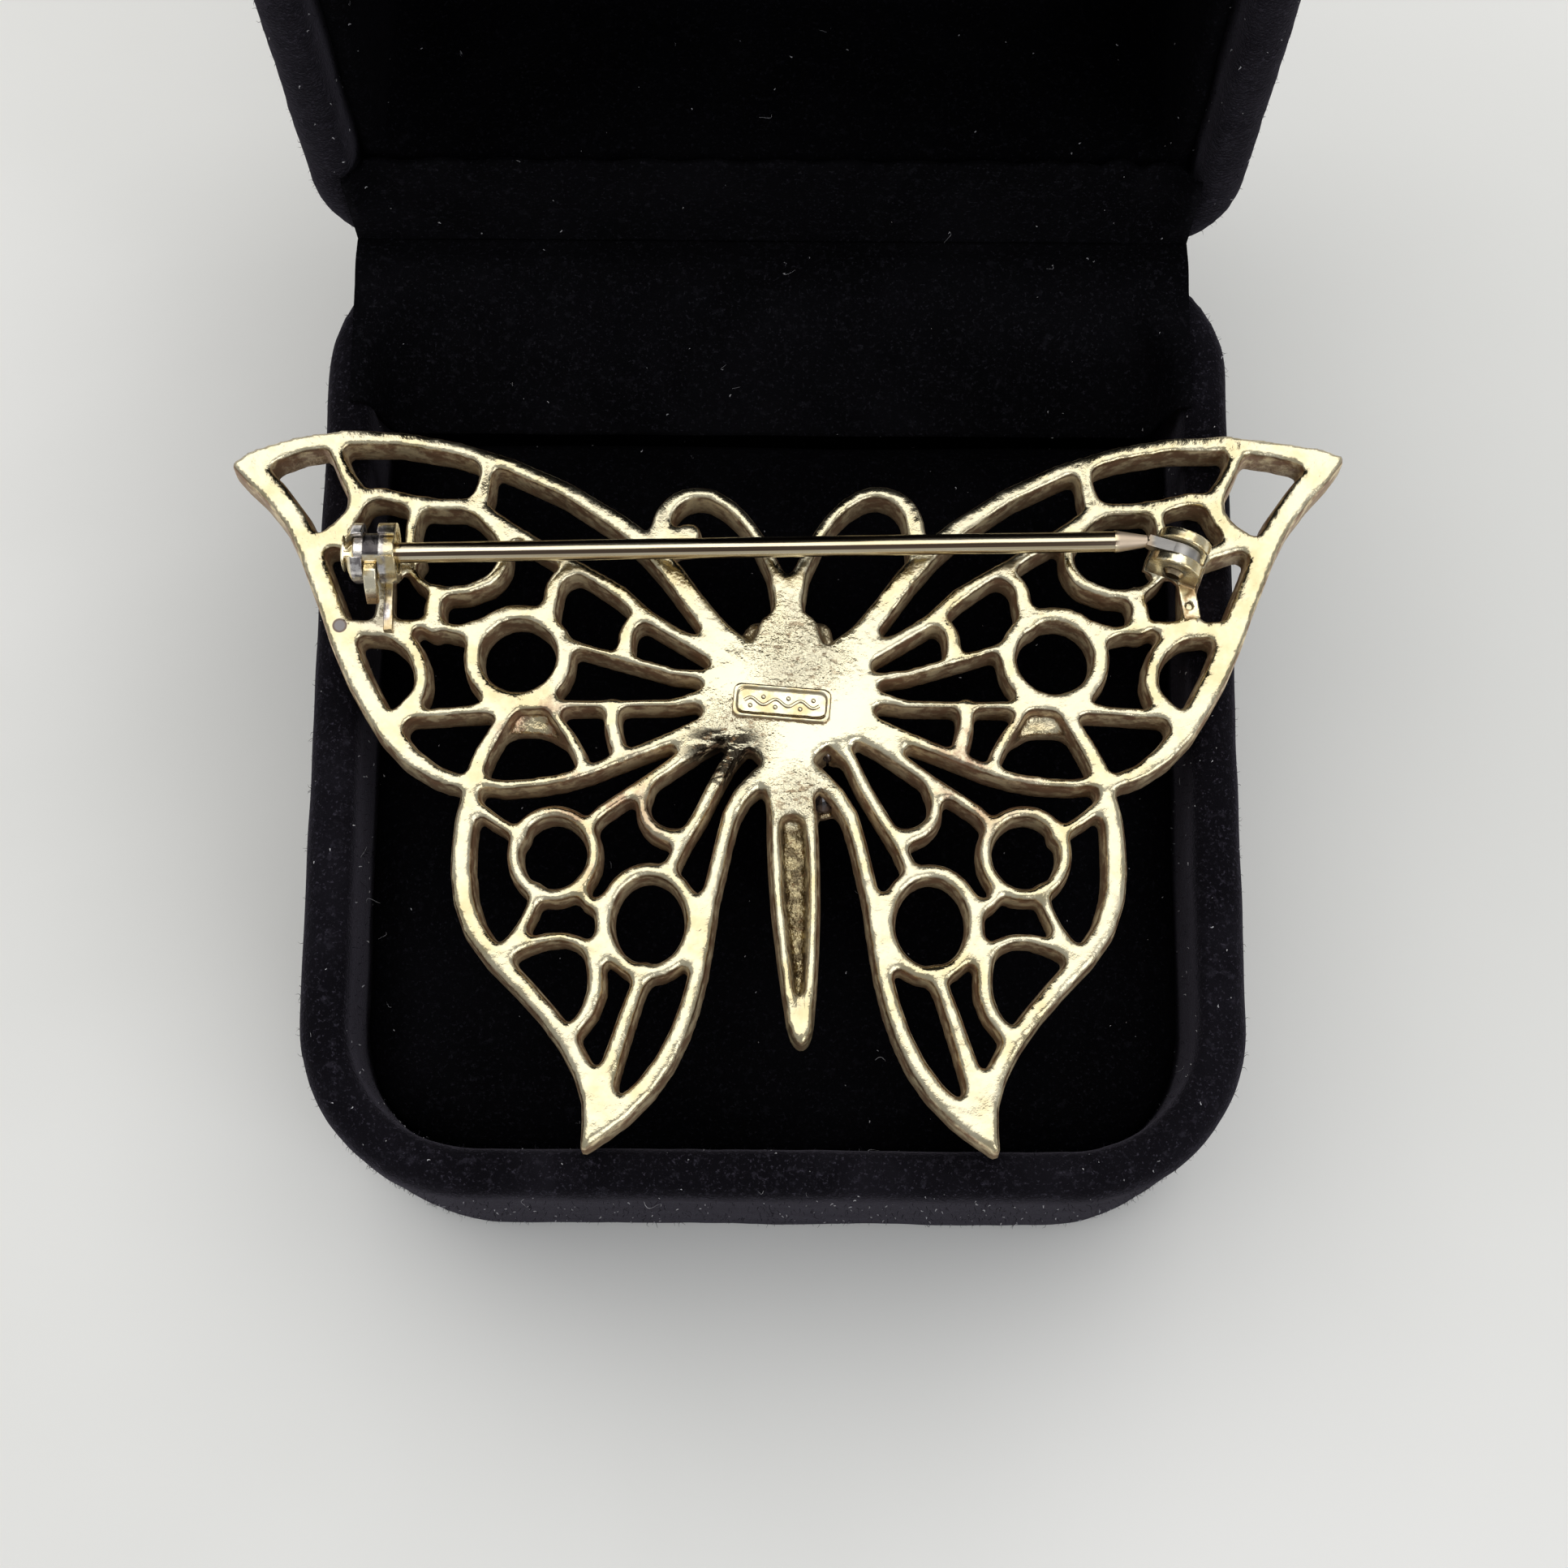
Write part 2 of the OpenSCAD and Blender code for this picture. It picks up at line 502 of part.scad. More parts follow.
// The frame of the hinge: the rivet's axis along Y through the origin, the tongue along -X
module hinge_frame() {
    pin_frame()
        translate([bend_x, 0, hinge_z])
            rotate([0, 0, -ear_turn])
                translate([tongue_reach, 0, 0])
                    children();
}

module ear(side) {
    inner = tongue_t / 2 + side_gap;
    translate([0, side > 0 ? inner + ear_t : -inner, 0])
        rotate([90, 0, 0])
            linear_extrude(ear_t)
                union() {
                    circle(r = ear_r);
                    translate([-ear_r, -hinge_z])
                        square([2 * ear_r, hinge_z]);
                }
}

module hinge_bracket() {
    ears_w = tongue_t + 2 * side_gap + 2 * ear_t;
    difference() {
        union() {
            hinge_frame() {
                ear(1);
                ear(-1);
                translate([-ear_r - plate_margin, -ears_w / 2, -hinge_z - bracket_t])
                    cube([2 * (ear_r + plate_margin), ears_w, bracket_t + 2 * eps]);
            }
            // tail of the bracket, with its small pit
            translate([tail_at[0] * half, tail_at[1] * half, -bracket_t])
                rotate([0, 0, tail_turn])
                    cube([tail_size[0], tail_size[1], bracket_t + tail_rise]);
        }
        hinge_frame()
            rotate([90, 0, 0])
                cylinder(d = rivet_d + 2 * rivet_gap, h = 4 * ear_r, center = true);
        translate([tail_at[0] * half + tail_size[0] / 3, tail_at[1] * half + tail_size[1] / 3, 0])
            cylinder(d = pit_d, h = bracket_t);
    }
}

// The catch: two cheeks with the mouth up, the left one closed by a dome
module catch_cheek(from, to) {
    translate([from, 0, pin_z])
        rotate([0, 90, 0])
            cylinder(d = catch_d, h = to - from);
}

module catch_bore_cut() {
    pin_frame()
        translate([-catch_x - catch_len / 2 - bore_over, 0, pin_z])
            rotate([0, 90, 0])
                cylinder(d = catch_bore, h = catch_len + bore_over);
}

module catch_housing() {
    x0 = -catch_x - catch_len / 2;
    x1 = x0 + catch_left;
    x2 = x1 + catch_gap_mid;
    x3 = x0 + catch_len;
    low = pin_z - catch_d / 2;
    pin_frame() difference() {
        union() {
            catch_cheek(x0, x1);
            catch_cheek(x2, x3);
            intersection() {
                translate([x0 + dome_r * dome_share, 0, pin_z])
                    sphere(r = dome_r);
                translate([x0 - dome_r, -catch_d, pin_z - catch_d / 2])
                    cube([dome_r + eps, 2 * catch_d, catch_d]);
            }
            // foot that joins both cheeks and seats on the lattice
            translate([x0 + cheek_wall, -foot_w / 2, -foot_sink])
                cube([catch_len - cheek_wall, foot_w, foot_sink + max(low, 0) + catch_floor]);
            // strap down to the lower bar
            translate([x2, -strap_end, -foot_sink])
                cube([strap_w, strap_len, foot_sink + strap_t]);
        }
        // bore for the roller, blind at the pin's point
        translate([x0 + cheek_wall, 0, pin_z])
            rotate([0, 90, 0])
                cylinder(d = catch_bore, h = catch_len);
        // mouth
        translate([x0 - catch_len / 2, -mouth_w / 2, pin_z])
            cube([2 * catch_len, mouth_w, catch_d]);
    }
}

module setting(place, r, low, high) {
    translate([place[0] * half, place[1] * half, 0])
        difference() {
            translate([0, 0, low])
                cylinder(r = r + stone_gap + bezel_t, h = high - low);
            translate([0, 0, low - eps])
                cylinder(r = r + stone_gap, h = high - low - bezel_t + eps);
        }
}

// A round stone that faces down: table, crown, girdle and pavilion, in flat facets
module stone(place, r, girdle_z, sides) {
    translate([place[0] * half, place[1] * half, girdle_z])
        rotate_extrude($fn = sides)
            polygon([[0, -0.36 * r], [0.56 * r, -0.36 * r], [r, -0.06 * r], [r, 0.06 * r],
                     [0.35 * r, 0.66 * r], [0, 0.82 * r]]);
}

waist_at = [0.060, -0.008];
side_at = [0.070, 0.072];
eye_at = [0.055, 0.286];
setting_drop = 0.35;       // how far the eyes' settings stand out from the front
eye_up = 0.30;             // heights of the girdles above a setting's foot or above the front
waist_up = 0.15;
side_up = 0.2;
collet_h = 0.6;
setting_low = -metal_t - setting_drop;
eye_z = setting_low + eye_up;
waist_z = -metal_t + waist_up;
side_z = -metal_t + side_up;

// Open collet: a ring round the girdle, with a claw on the body's side
module open_collet(place, r, girdle_z) {
    translate([place[0] * half, place[1] * half, girdle_z - collet_h / 2])
        difference() {
            cylinder(r = r + stone_gap + bezel_t, h = collet_h);
            translate([0, 0, -eps])
                cylinder(r = r + stone_gap, h = 2 * collet_h);
        }
}

// Room for the round stones of the front, where strands and body pass over them
module stone_pockets() {
    for (s = [[waist_at, waist_r, waist_z], [side_at, side_r, side_z],
              [eye_at, eye_r, eye_z], [[-eye_at[0], eye_at[1]], eye_r, eye_z]])
        translate([s[0][0] * half, s[0][1] * half, -2 * metal_t])
            cylinder(r = s[1] + stone_gap, h = 2 * metal_t + s[2] + s[1]);
}

// The body with its hollow abdomen, its round front, the nameplate and the settings
module body_metal() {
    difference() {
        union() {
            slab(0, metal_t)
                offset(r = -strand_fillet, $fn = fillet_sides)
                    offset(delta = strand_fillet)
                        body_plan();
            round_front();
        }
        slab(-1, metal_t * hollow_share)
            spindle_outline(hollow_rows);
        stone_pockets();
    }
    nameplate();
    for (side = [-1, 1])
        setting([side * eye_at[0], eye_at[1]], eye_r, setting_low, -metal_t * 0.55);
    open_collet(waist_at, waist_r, waist_z);
    open_collet(side_at, side_r, side_z);
}

module upper_wing(side) {
    difference() {
        union() {
            slab(upper_drop, metal_t - upper_drop)
                wing(side, upper_strands, upper_rings);
            slab(metal_t * sunk_share, metal_t - 2 * upper_drop)
                wing(side, sunk_strands, []);
        }
        // the catch is let into the lattice, and so is the stone at the shoulder
        if (side < 0)
            catch_bore_cut();
        else
            stone_pockets();
    }
}

module lower_wing(side) {
    difference() {
        slab(lower_drop, metal_t - lower_drop)
            wing(side, lower_strands, lower_rings);
        if (side > 0)
            stone_pockets();
    }
}

// Everything of the brooch that is cast or soldered together, back up, back face at z = 0
module brooch_metal() {
    body_metal();
    union() {
        upper_wing(1);
        hinge_bracket();
    }
    union() {
        upper_wing(-1);
        catch_housing();
    }
    for (side = [-1, 1])
        lower_wing(side);
}

module placed() {
    translate([brooch_x, brooch_y, back_z])
        rotate([0, 0, lie_turn])
            children();
}

module casting() {
    color("#d9c98c") placed() brooch_metal();
}

module pin_stem() {
    color("#cfc3a0") placed() {
        difference() {
            union() {
                pin_frame() {
                    translate([-stem_tip, 0, pin_z])
                        rotate([0, 90, 0])
                            cylinder(d = pin_d, h = stem_tip + stem_from + 0.1 * taper_len);
                    translate([stem_from, 0, pin_z])
                        rotate([0, 90, 0])
                            cylinder(d1 = taper_d, d2 = tongue_t + eps, h = taper_len);
                    translate([stem_from + taper_len, 0, pin_z])
                        sphere(d = tongue_t + 4 * eps);
                }
                hinge_frame()
                    rotate([90, 0, 0])
                        translate([0, 0, -tongue_t / 2])
                            linear_extrude(tongue_t)
                                union() {
                                    circle(r = tongue_back);
                                    polygon([[0, 0], [0, -tongue_back],
                                             [heel_r * sin(pin_lift), -heel_r * cos(pin_lift)],
                                             [tongue_back, 0]]);
                                    polygon([[0, -tongue_back * 0.9], [0, tongue_back],
                                             [-tongue_reach, pin_z - hinge_z + tongue_t / 2],
                                             [-tongue_reach, pin_z - hinge_z - tongue_t / 2]]);
                                }
            }
            hinge_frame()
                rotate([90, 0, 0])
                    cylinder(d = rivet_d + 2 * rivet_gap, h = 4 * ear_r, center = true);
        }
    }
}

module hinge_rivet() {
    ears_w = tongue_t + 2 * side_gap + 2 * ear_t;
    color("#b9ac86") placed() hinge_frame()
        rotate([90, 0, 0])
            union() {
                cylinder(d = rivet_d, h = ears_w + 2 * head_gap, center = true);
                for (side = [0, 1])
                    mirror([0, 0, side])
                        translate([0, 0, ears_w / 2 + head_gap])
                            cylinder(r1 = rivet_head_r, r2 = rivet_head_r * 0.7, h = rivet_head_t);
            }
}

module catch_roller() {
    x0 = -catch_x - catch_len / 2;
    xa = x0 + cheek_wall + side_gap;
    xb = x0 + catch_len - side_gap;
    xt = x0 + catch_left + side_gap;
    color("#c8c4b4") placed() pin_frame() difference() {
        union() {
            translate([xa, 0, pin_z])
                rotate([0, 90, 0])
                    cylinder(d = catch_bore - 2 * roller_gap, h = xb - xa);
            // tab, which rises from the roller and curls down towards the front of the box
            translate([xt, 0, pin_z])
                rotate([90, 0, 90])
                    linear_extrude(tab_w)
                        polygon(tab_len * tab_shape);
        }
        translate([x0 - catch_len / 2, 0, pin_z])
            rotate([0, 90, 0])
                cylinder(d = roller_bore, h = 2 * catch_len);
        // the roller's own mouth faces down while it locks the pin
        translate([x0 - catch_len / 2, -mouth_w / 2, pin_z - catch_d])
            cube([2 * catch_len, mouth_w, catch_d]);
    }
}

module eye_left() {
    color("#2a2630") placed() stone([-eye_at[0], eye_at[1]], eye_r, eye_z, 8);
}

module eye_right() {
    color("#2a2630") placed() stone(eye_at, eye_r, eye_z, 8);
}

module waist_stone() {
    color("#3b3340") placed() stone(waist_at, waist_r, waist_z, 12);
}

module side_stone() {
    color("#3b3340") placed() stone(side_at, side_r, side_z, 8);
}

// Rounded rectangle of the box, inset on all sides, rounder at the front than at the hinge
module plan(inset, width = box_w) {
    w = width - 2 * inset;
    d = box_d - 2 * inset;
    front = corner_r - inset;
    rear = rear_r - inset;
    translate([-w / 2, -d / 2 + front])
        square([w, d - front - rear]);
    translate([-w / 2 + front, -d / 2])
        square([w - 2 * front, d / 2]);
    translate([-w / 2 + rear, 0])
        square([w - 2 * rear, d / 2]);
    for (sx = [-1, 1]) {
        translate([sx * (w / 2 - front), -d / 2 + front])
            circle(r = front);
        translate([sx * (w / 2 - rear), d / 2 - rear])
            circle(r = rear);
    }
}

// Section of a box wall: outer face at x = out, mouth at the top
module wall_section(h, out) {
    inner = out - wall_t;
    r_in = rim_r * 0.6;
    polygon(concat(
        [[inner, 0]],
        arc(out - rim_r, rim_r, rim_r, -90, 0, 5),
        arc(out - rim_r, h - rim_r, rim_r, 0, 90, 5),
        arc(inner + r_in, h - r_in, r_in, 90, 180, 4)));
}

// Walls that follow the plan, as four turned corners and four straight runs
module box_walls(h, width) {
    for (q = [0 : 3]) {
        r = q < 2 ? rear_r : corner_r;
        translate([(q == 0 || q == 3 ? 1 : -1) * (width / 2 - r), (q < 2 ? 1 : -1) * (box_d / 2 - r), 0])
            rotate([0, 0, 90 * q])
                rotate_extrude(angle = 90)
                    wall_section(h, r);
    }
    for (side = [0, 1])
        mirror([side, 0, 0])
            translate([0, box_d / 2 - rear_r, 0])
                rotate([90, 0, 0])
                    linear_extrude(box_d - rear_r - corner_r)
                        wall_section(h, width / 2);
    for (side = [[90, rear_r], [-90, corner_r]])
        rotate([0, 0, side[0]])
            translate([0, width / 2 - side[1], 0])
                rotate([90, 0, 0])
                    linear_extrude(width - 2 * side[1])
                        wall_section(h, box_d / 2);
}

// Half of the box with its mouth up: walls, floor and the step in the rear rim for the flap
module half_box(h, width, shift) {
    step_from = box_d / 2 - wall_t - flap_gap;
    difference() {
        union() {
            box_walls(h, width);
            linear_extrude(floor_t)
                plan(wall_t - eps, width);
        }
        translate([shift - flap_w / 2 - flap_gap, step_from, h - flap_t - flap_gap])
            cube([flap_w + 2 * flap_gap, 2 * wall_t, flap_t + wall_t]);
    }
}

// Cloth over the hinge, in the half's own frame with its mouth at z = h:
// a strip over the rear rim and a slope down to the cushion or the lining
module half_flap(h, reach, drop, width, shift) {
    inner = box_d / 2 - wall_t;
    foot_y = box_d / 2 - reach;
    foot_z = h - drop + flap_gap;
    translate([shift - flap_w / 2, inner - eps, h - flap_t])
        cube([flap_w, wall_t + eps - hinge_in - flap_gap, flap_t]);
    intersection() {
        translate([box_w / 2, 0, 0])
            rotate([90, 0, -90])
                linear_extrude(box_w)
                    polygon([[-inner, h], [-foot_y, foot_z + flap_t], [-foot_y, foot_z], [-inner, h - flap_t]]);
        linear_extrude(h)
            union() {
                plan(wall_t + pad_gap, width);
                translate([-flap_neck * box_w / 2, inner - 2 * flap_t])
                    square([flap_neck * box_w, 4 * flap_t]);
            }
    }
}

module lid_frame() {
    translate([lid_shift, box_d / 2 - hinge_in, base_h - hinge_down])
        rotate([-lid_open, 0, 0])
            translate([0, -box_d / 2 + hinge_in, lid_h + hinge_down])
                mirror([0, 0, 1])
                    children();
}

module box_base() {
    color("#1d1a24") half_box(base_h, box_w, flap_shift);
}

module box_pad() {
    top = base_h - pad_drop;
    color("#0d0c10") union() {
        translate([0, 0, floor_t + pad_gap])
            linear_extrude(top - pad_cap + pad_lap - floor_t - pad_gap)
                difference() {
                    plan(wall_t + pad_gap);
                    translate([-box_w, box_d / 2 - flap_reach - pad_gap])
                        square([2 * box_w, box_w]);
                }
        translate([0, 0, top - pad_cap])
            linear_extrude(pad_cap)
                difference() {
                    plan(wall_t + pad_step);
                    translate([-box_w, box_d / 2 - flap_reach - pad_step])
                        square([2 * box_w, box_w]);
                }
    }
}

module flap_base() {
    color("#141218") half_flap(base_h, flap_reach, pad_drop, box_w, flap_shift);
}

module box_lid() {
    color("#1d1a24") lid_frame() half_box(lid_h, lid_w, flap_shift - lid_shift);
}

// Lining of the lid: a cushion with a wall round it, which is a ledge under the flap at the back
module lid_lining() {
    outer = wall_t + pad_gap;
    floor_z = floor_t + pad_gap;
    color("#0b0a0d") lid_frame()
        difference() {
            translate([0, 0, floor_z])
                linear_extrude(lid_h - lining_drop - floor_z)
                    plan(outer, lid_w);
            translate([0, 0, lid_h - lid_drop])
                linear_extrude(lid_h)
                    intersection() {
                        plan(outer + lining_t, lid_w);
                        translate([-lid_w / 2, -box_d / 2])
                            square([lid_w, box_d - lid_reach + pad_gap]);
                    }
        }
}

module flap_lid() {
    color("#141218") lid_frame() half_flap(lid_h, lid_reach, lining_drop, lid_w, flap_shift - lid_shift);
}

casting();
pin_stem();
hinge_rivet();
catch_roller();
eye_left();
eye_right();
waist_stone();
side_stone();
box_base();
box_pad();
flap_base();
box_lid();
lid_lining();
flap_lid();
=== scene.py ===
# Butterfly brooch lying face down across its open velvet ring box.
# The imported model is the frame; this script gives it its metal, velvet, cloth and light.
import math

import bmesh
import bpy
import numpy as np
from mathutils import Matrix, Vector
from mathutils.kdtree import KDTree


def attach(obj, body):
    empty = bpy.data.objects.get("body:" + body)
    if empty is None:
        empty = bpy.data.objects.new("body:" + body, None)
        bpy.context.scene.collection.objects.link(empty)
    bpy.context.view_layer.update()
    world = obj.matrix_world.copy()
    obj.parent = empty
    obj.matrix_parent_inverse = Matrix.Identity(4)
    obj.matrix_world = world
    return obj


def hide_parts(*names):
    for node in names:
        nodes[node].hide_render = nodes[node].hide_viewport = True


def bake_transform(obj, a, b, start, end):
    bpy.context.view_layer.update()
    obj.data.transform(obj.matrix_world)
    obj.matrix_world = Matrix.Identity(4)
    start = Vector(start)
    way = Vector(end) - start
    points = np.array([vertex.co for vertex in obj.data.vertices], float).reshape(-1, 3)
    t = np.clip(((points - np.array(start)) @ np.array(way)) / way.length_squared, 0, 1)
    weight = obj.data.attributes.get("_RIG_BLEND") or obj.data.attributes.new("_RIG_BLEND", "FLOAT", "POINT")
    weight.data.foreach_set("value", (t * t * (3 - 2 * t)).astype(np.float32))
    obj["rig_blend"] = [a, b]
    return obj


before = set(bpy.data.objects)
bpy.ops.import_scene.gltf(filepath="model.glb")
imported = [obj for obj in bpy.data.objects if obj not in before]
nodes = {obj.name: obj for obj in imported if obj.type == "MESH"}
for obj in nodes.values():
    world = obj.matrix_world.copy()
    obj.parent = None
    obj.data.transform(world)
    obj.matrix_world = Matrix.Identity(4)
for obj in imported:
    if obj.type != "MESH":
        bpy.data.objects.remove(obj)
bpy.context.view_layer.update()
MM = 0.001

# Sizes and places are in mm. The brooch: height of its flat back over the table, place, turn and half span
BACK_UP = 22.5
BROOCH_AT = Vector((0.78, -5.22, BACK_UP))
BROOCH_TURN = math.radians(0.5)
HALF_SPAN = 30.2

# The box: widths, depth, heights, the radius of its rear corners, and the line on which its lid turns
BOX_W = 50.5
BOX_D = 53.6
BASE_H = 20.0
WALL_T = 2.7
REAR_R = 7.5
LID_W = 51.4
LID_H = 18.0
LID_SHIFT = -0.10
LID_OPEN = math.radians(94)
HINGE_Y = 25.36
HINGE_Z = 18.26

# The camera of the photograph: focal length and width of the picture in pixels, place, and turn
FOCAL_PX = 3364
PICTURE_PX = 1932
SENSOR_W = 36.0
CAMERA_AT = Vector((0.77, -37.67, 163.33))
CAMERA_DOWN = math.radians(77.0)
CAMERA_ASIDE = math.radians(0.4)


def on_brooch(u, v, up):
    """A point of the brooch from shares of its half span, up in mm above its back."""
    turn = Matrix.Rotation(BROOCH_TURN, 3, "Z")
    return (BROOCH_AT + turn @ Vector((u * HALF_SPAN, v * HALF_SPAN, up))) * MM


def in_lid(x, y, up):
    """A point of the lid from its own frame, whose mouth is at up = LID_H."""
    y_from = y - HINGE_Y
    z_from = LID_H + BASE_H - HINGE_Z - up
    c = math.cos(LID_OPEN)
    s = -math.sin(LID_OPEN)
    return Vector((x + LID_SHIFT, HINGE_Y + y_from * c - z_from * s, HINGE_Z + y_from * s + z_from * c)) * MM


def link_to_scene(name, data):
    """A new object of the scene with that mesh, curve, light or camera."""
    obj = bpy.data.objects.new(name, data)
    bpy.context.scene.collection.objects.link(obj)
    return obj


def place_camera():
    """The photograph's camera, with its axes worked out from how far it looks down and aside."""
    data = bpy.data.cameras.new("photo_camera")
    data.sensor_width = SENSOR_W
    data.sensor_fit = "HORIZONTAL"
    data.lens = FOCAL_PX / PICTURE_PX * SENSOR_W
    data.clip_start = 0.01
    data.clip_end = 10.0
    camera = link_to_scene("photo_camera", data)
    level = Vector((-math.sin(CAMERA_ASIDE), math.cos(CAMERA_ASIDE), 0))
    top = Vector((0, 0, 1))
    look = level * math.cos(CAMERA_DOWN) - top * math.sin(CAMERA_DOWN)
    up = level * math.sin(CAMERA_DOWN) + top * math.cos(CAMERA_DOWN)
    turn = Matrix((look.cross(up), up, -look)).transposed()
    camera.matrix_world = Matrix.Translation(CAMERA_AT * MM) @ turn.to_4x4()
    bpy.context.scene.camera = camera


class Finish:
    """One material under construction: a Principled shader and short calls for its nodes."""

    def __init__(self, name):
        self.material = bpy.data.materials.new(name)
        self.material.use_nodes = True
        self.tree = self.material.node_tree
        self.tree.nodes.clear()
        self.shader = self.add("ShaderNodeBsdfPrincipled")
        self.join(self.shader.outputs[0], self.add("ShaderNodeOutputMaterial").inputs[0])
        self.coords = self.add("ShaderNodeTexCoord")
        self.place = self.coords.outputs["Object"]

    def add(self, kind):
        return self.tree.nodes.new(kind)

    def join(self, source, target):
        self.tree.links.new(source, target)

    def feed(self, value, socket):
        if isinstance(value, bpy.types.NodeSocket):
            self.join(value, socket)
        else:
            socket.default_value = value

    def set(self, **values):
        for name, value in values.items():
            self.feed(value, self.shader.inputs[name.replace("_", " ")])

    def moved(self, offset, scale):
        node = self.add("ShaderNodeMapping")
        self.join(self.place, node.inputs["Vector"])
        node.inputs["Location"].default_value = [-o * s for o, s in zip(offset, scale)]
        node.inputs["Scale"].default_value = scale
        return node.outputs[0]

    def stretched(self, *scale):
        return self.moved((0, 0, 0), scale)

    def noise(self, scale, detail=3.0, roughness=0.5, vector=None, distortion=0.0):
        node = self.add("ShaderNodeTexNoise")
        self.join(vector or self.place, node.inputs["Vector"])
        node.inputs["Scale"].default_value = scale
        node.inputs["Detail"].default_value = detail
        node.inputs["Roughness"].default_value = roughness
        node.inputs["Distortion"].default_value = distortion
        return node.outputs["Fac"]

    def fit(self, value, low, high, to_low=0.0, to_high=1.0):
        """value from low to high, brought to to_low to to_high with soft ends."""
        node = self.add("ShaderNodeMapRange")
        node.interpolation_type = "SMOOTHSTEP"
        self.feed(value, node.inputs["Value"])
        node.inputs["From Min"].default_value = low
        node.inputs["From Max"].default_value = high
        node.inputs["To Min"].default_value = to_low
        node.inputs["To Max"].default_value = to_high
        return node.outputs["Result"]

    def rise(self, value, low, high):
        """0 below low and 1 above high, both in mm."""
        return self.fit(value, low * MM, high * MM)

    def fall(self, value, low, high):
        """1 below low and 0 above high, both in mm."""
        return self.fit(value, low * MM, high * MM, 1.0, 0.0)

    def band(self, value, rise_from, rise_to, fall_from, fall_to):
        """1 between a rising and a falling edge, all in mm."""
        return self.times(self.rise(value, rise_from, rise_to), self.fall(value, fall_from, fall_to))

    def math(self, operation, a, b=0.0):
        node = self.add("ShaderNodeMath")
        node.operation = operation
        self.feed(a, node.inputs[0])
        self.feed(b, node.inputs[1])
        return node.outputs[0]

    def chain(self, operation, values):
        total = values[0]
        for value in values[1:]:
            total = self.math(operation, total, value)
        return total

    def times(self, *values):
        return self.chain("MULTIPLY", values)

    def plus(self, *values):
        return self.chain("ADD", values)

    def largest(self, *values):
        return self.chain("MAXIMUM", values)

    def mix(self, share, a, b):
        node = self.add("ShaderNodeMix")
        node.data_type = "RGBA"
        self.feed(share, node.inputs["Factor"])
        self.feed(a if isinstance(a, bpy.types.NodeSocket) else (*a, 1.0), node.inputs["A"])
        self.feed(b if isinstance(b, bpy.types.NodeSocket) else (*b, 1.0), node.inputs["B"])
        return node.outputs["Result"]

    def mottled(self, pattern, low, high, a, b):
        """Colour a where the pattern is low, b where it is high."""
        return self.mix(self.fit(pattern, low, high), a, b)

    def axis(self, which, source=None):
        node = self.add("ShaderNodeSeparateXYZ")
        self.join(source or self.place, node.inputs[0])
        return node.outputs[which]

    def facing(self):
        """How far the surface faces up."""
        return self.axis("Z", self.coords.outputs["Normal"])

    def spot(self, u, v, up, radius, soft):
        """1 inside a ball round a point of the brooch, falling to 0 outside it."""
        node = self.add("ShaderNodeVectorMath")
        node.operation = "DISTANCE"
        self.join(self.place, node.inputs[0])
        node.inputs[1].default_value = on_brooch(u, v, up)
        return self.fall(node.outputs["Value"], radius * (1 - soft), radius * (1 + soft))

    def spots(self, table):
        return self.largest(*[self.spot(*row) for row in table])

    def bump(self, height, distance, strength=1.0, before=None):
        node = self.add("ShaderNodeBump")
        node.inputs["Strength"].default_value = strength
        node.inputs["Distance"].default_value = distance * MM
        self.join(height, node.inputs["Height"])
        if before is not None:
            self.join(before, node.inputs["Normal"])
        return node.outputs[0]


# Colours of the metals, as linear red, green and blue
DULL_GOLD = (0.64, 0.54, 0.315)
RUBBED_GOLD = (0.79, 0.715, 0.51)
HIGHLIGHT_GOLD = (0.89, 0.82, 0.60)
DEEP_SHADE_GOLD = (0.40, 0.31, 0.17)
WALL_SHADE_BROWN = (0.36, 0.21, 0.12)
WALL_GOLD = (0.96, 0.80, 0.50)
WALL_FOOT_SHADE = (0.42, 0.30, 0.18)
EDGE_SHADE = (0.15, 0.085, 0.045)
TARNISH = (0.33, 0.19, 0.12)
BLACK_SCALE = (0.018, 0.011, 0.007)
CRUST_BROWN = (0.13, 0.095, 0.05)
CRUST_GOLD = (0.62, 0.52, 0.30)
DOT_RIM = (0.13, 0.10, 0.085)
DOT_GREY = (0.17, 0.155, 0.155)
SOLDER_GREY = (0.55, 0.50, 0.42)
MARK_BROWN = (0.24, 0.15, 0.08)

# Spots of the casting: u, v, height over the back in mm, radius in mm, softness
TARNISH_SPOTS = [(-0.33, -0.05, -0.3, 3.0, 0.8), (-0.45, 0.11, -1.2, 2.2, 0.5), (0.33, 0.02, -0.3, 3.0, 0.8)]
ROUGH_SPOTS = [(-0.10, 0.08, 0.0, 2.2, 0.6), (0.02, 0.24, 0.0, 2.4, 0.6), (0.02, -0.02, 0.0, 1.6, 0.6)]
MIDDLE_HIGHLIGHT_SPOT = (0.0, 0.14, 0.0, 5.5, 0.5)
SCALE_SPOT = (-0.115, 0.060, 0.0, 2.0, 0.35)
DOT_RIM_SPOT = (-0.797, 0.293, 0.0, 0.40, 0.06)
DOT_SPOT = (-0.797, 0.293, 0.0, 0.29, 0.08)
SOLDER_SPOT = (-0.735, 0.31, 0.3, 1.1, 0.5)
PIT_SHADE_SPOT = (0.713, 0.3245, 0.0, 0.27, 0.2)

# The hollow of the abdomen: its middle line in x at y HOLLOW_Y, and how it leans
HOLLOW_X = 1.23
HOLLOW_Y = -12.0
HOLLOW_LEAN = -0.0446


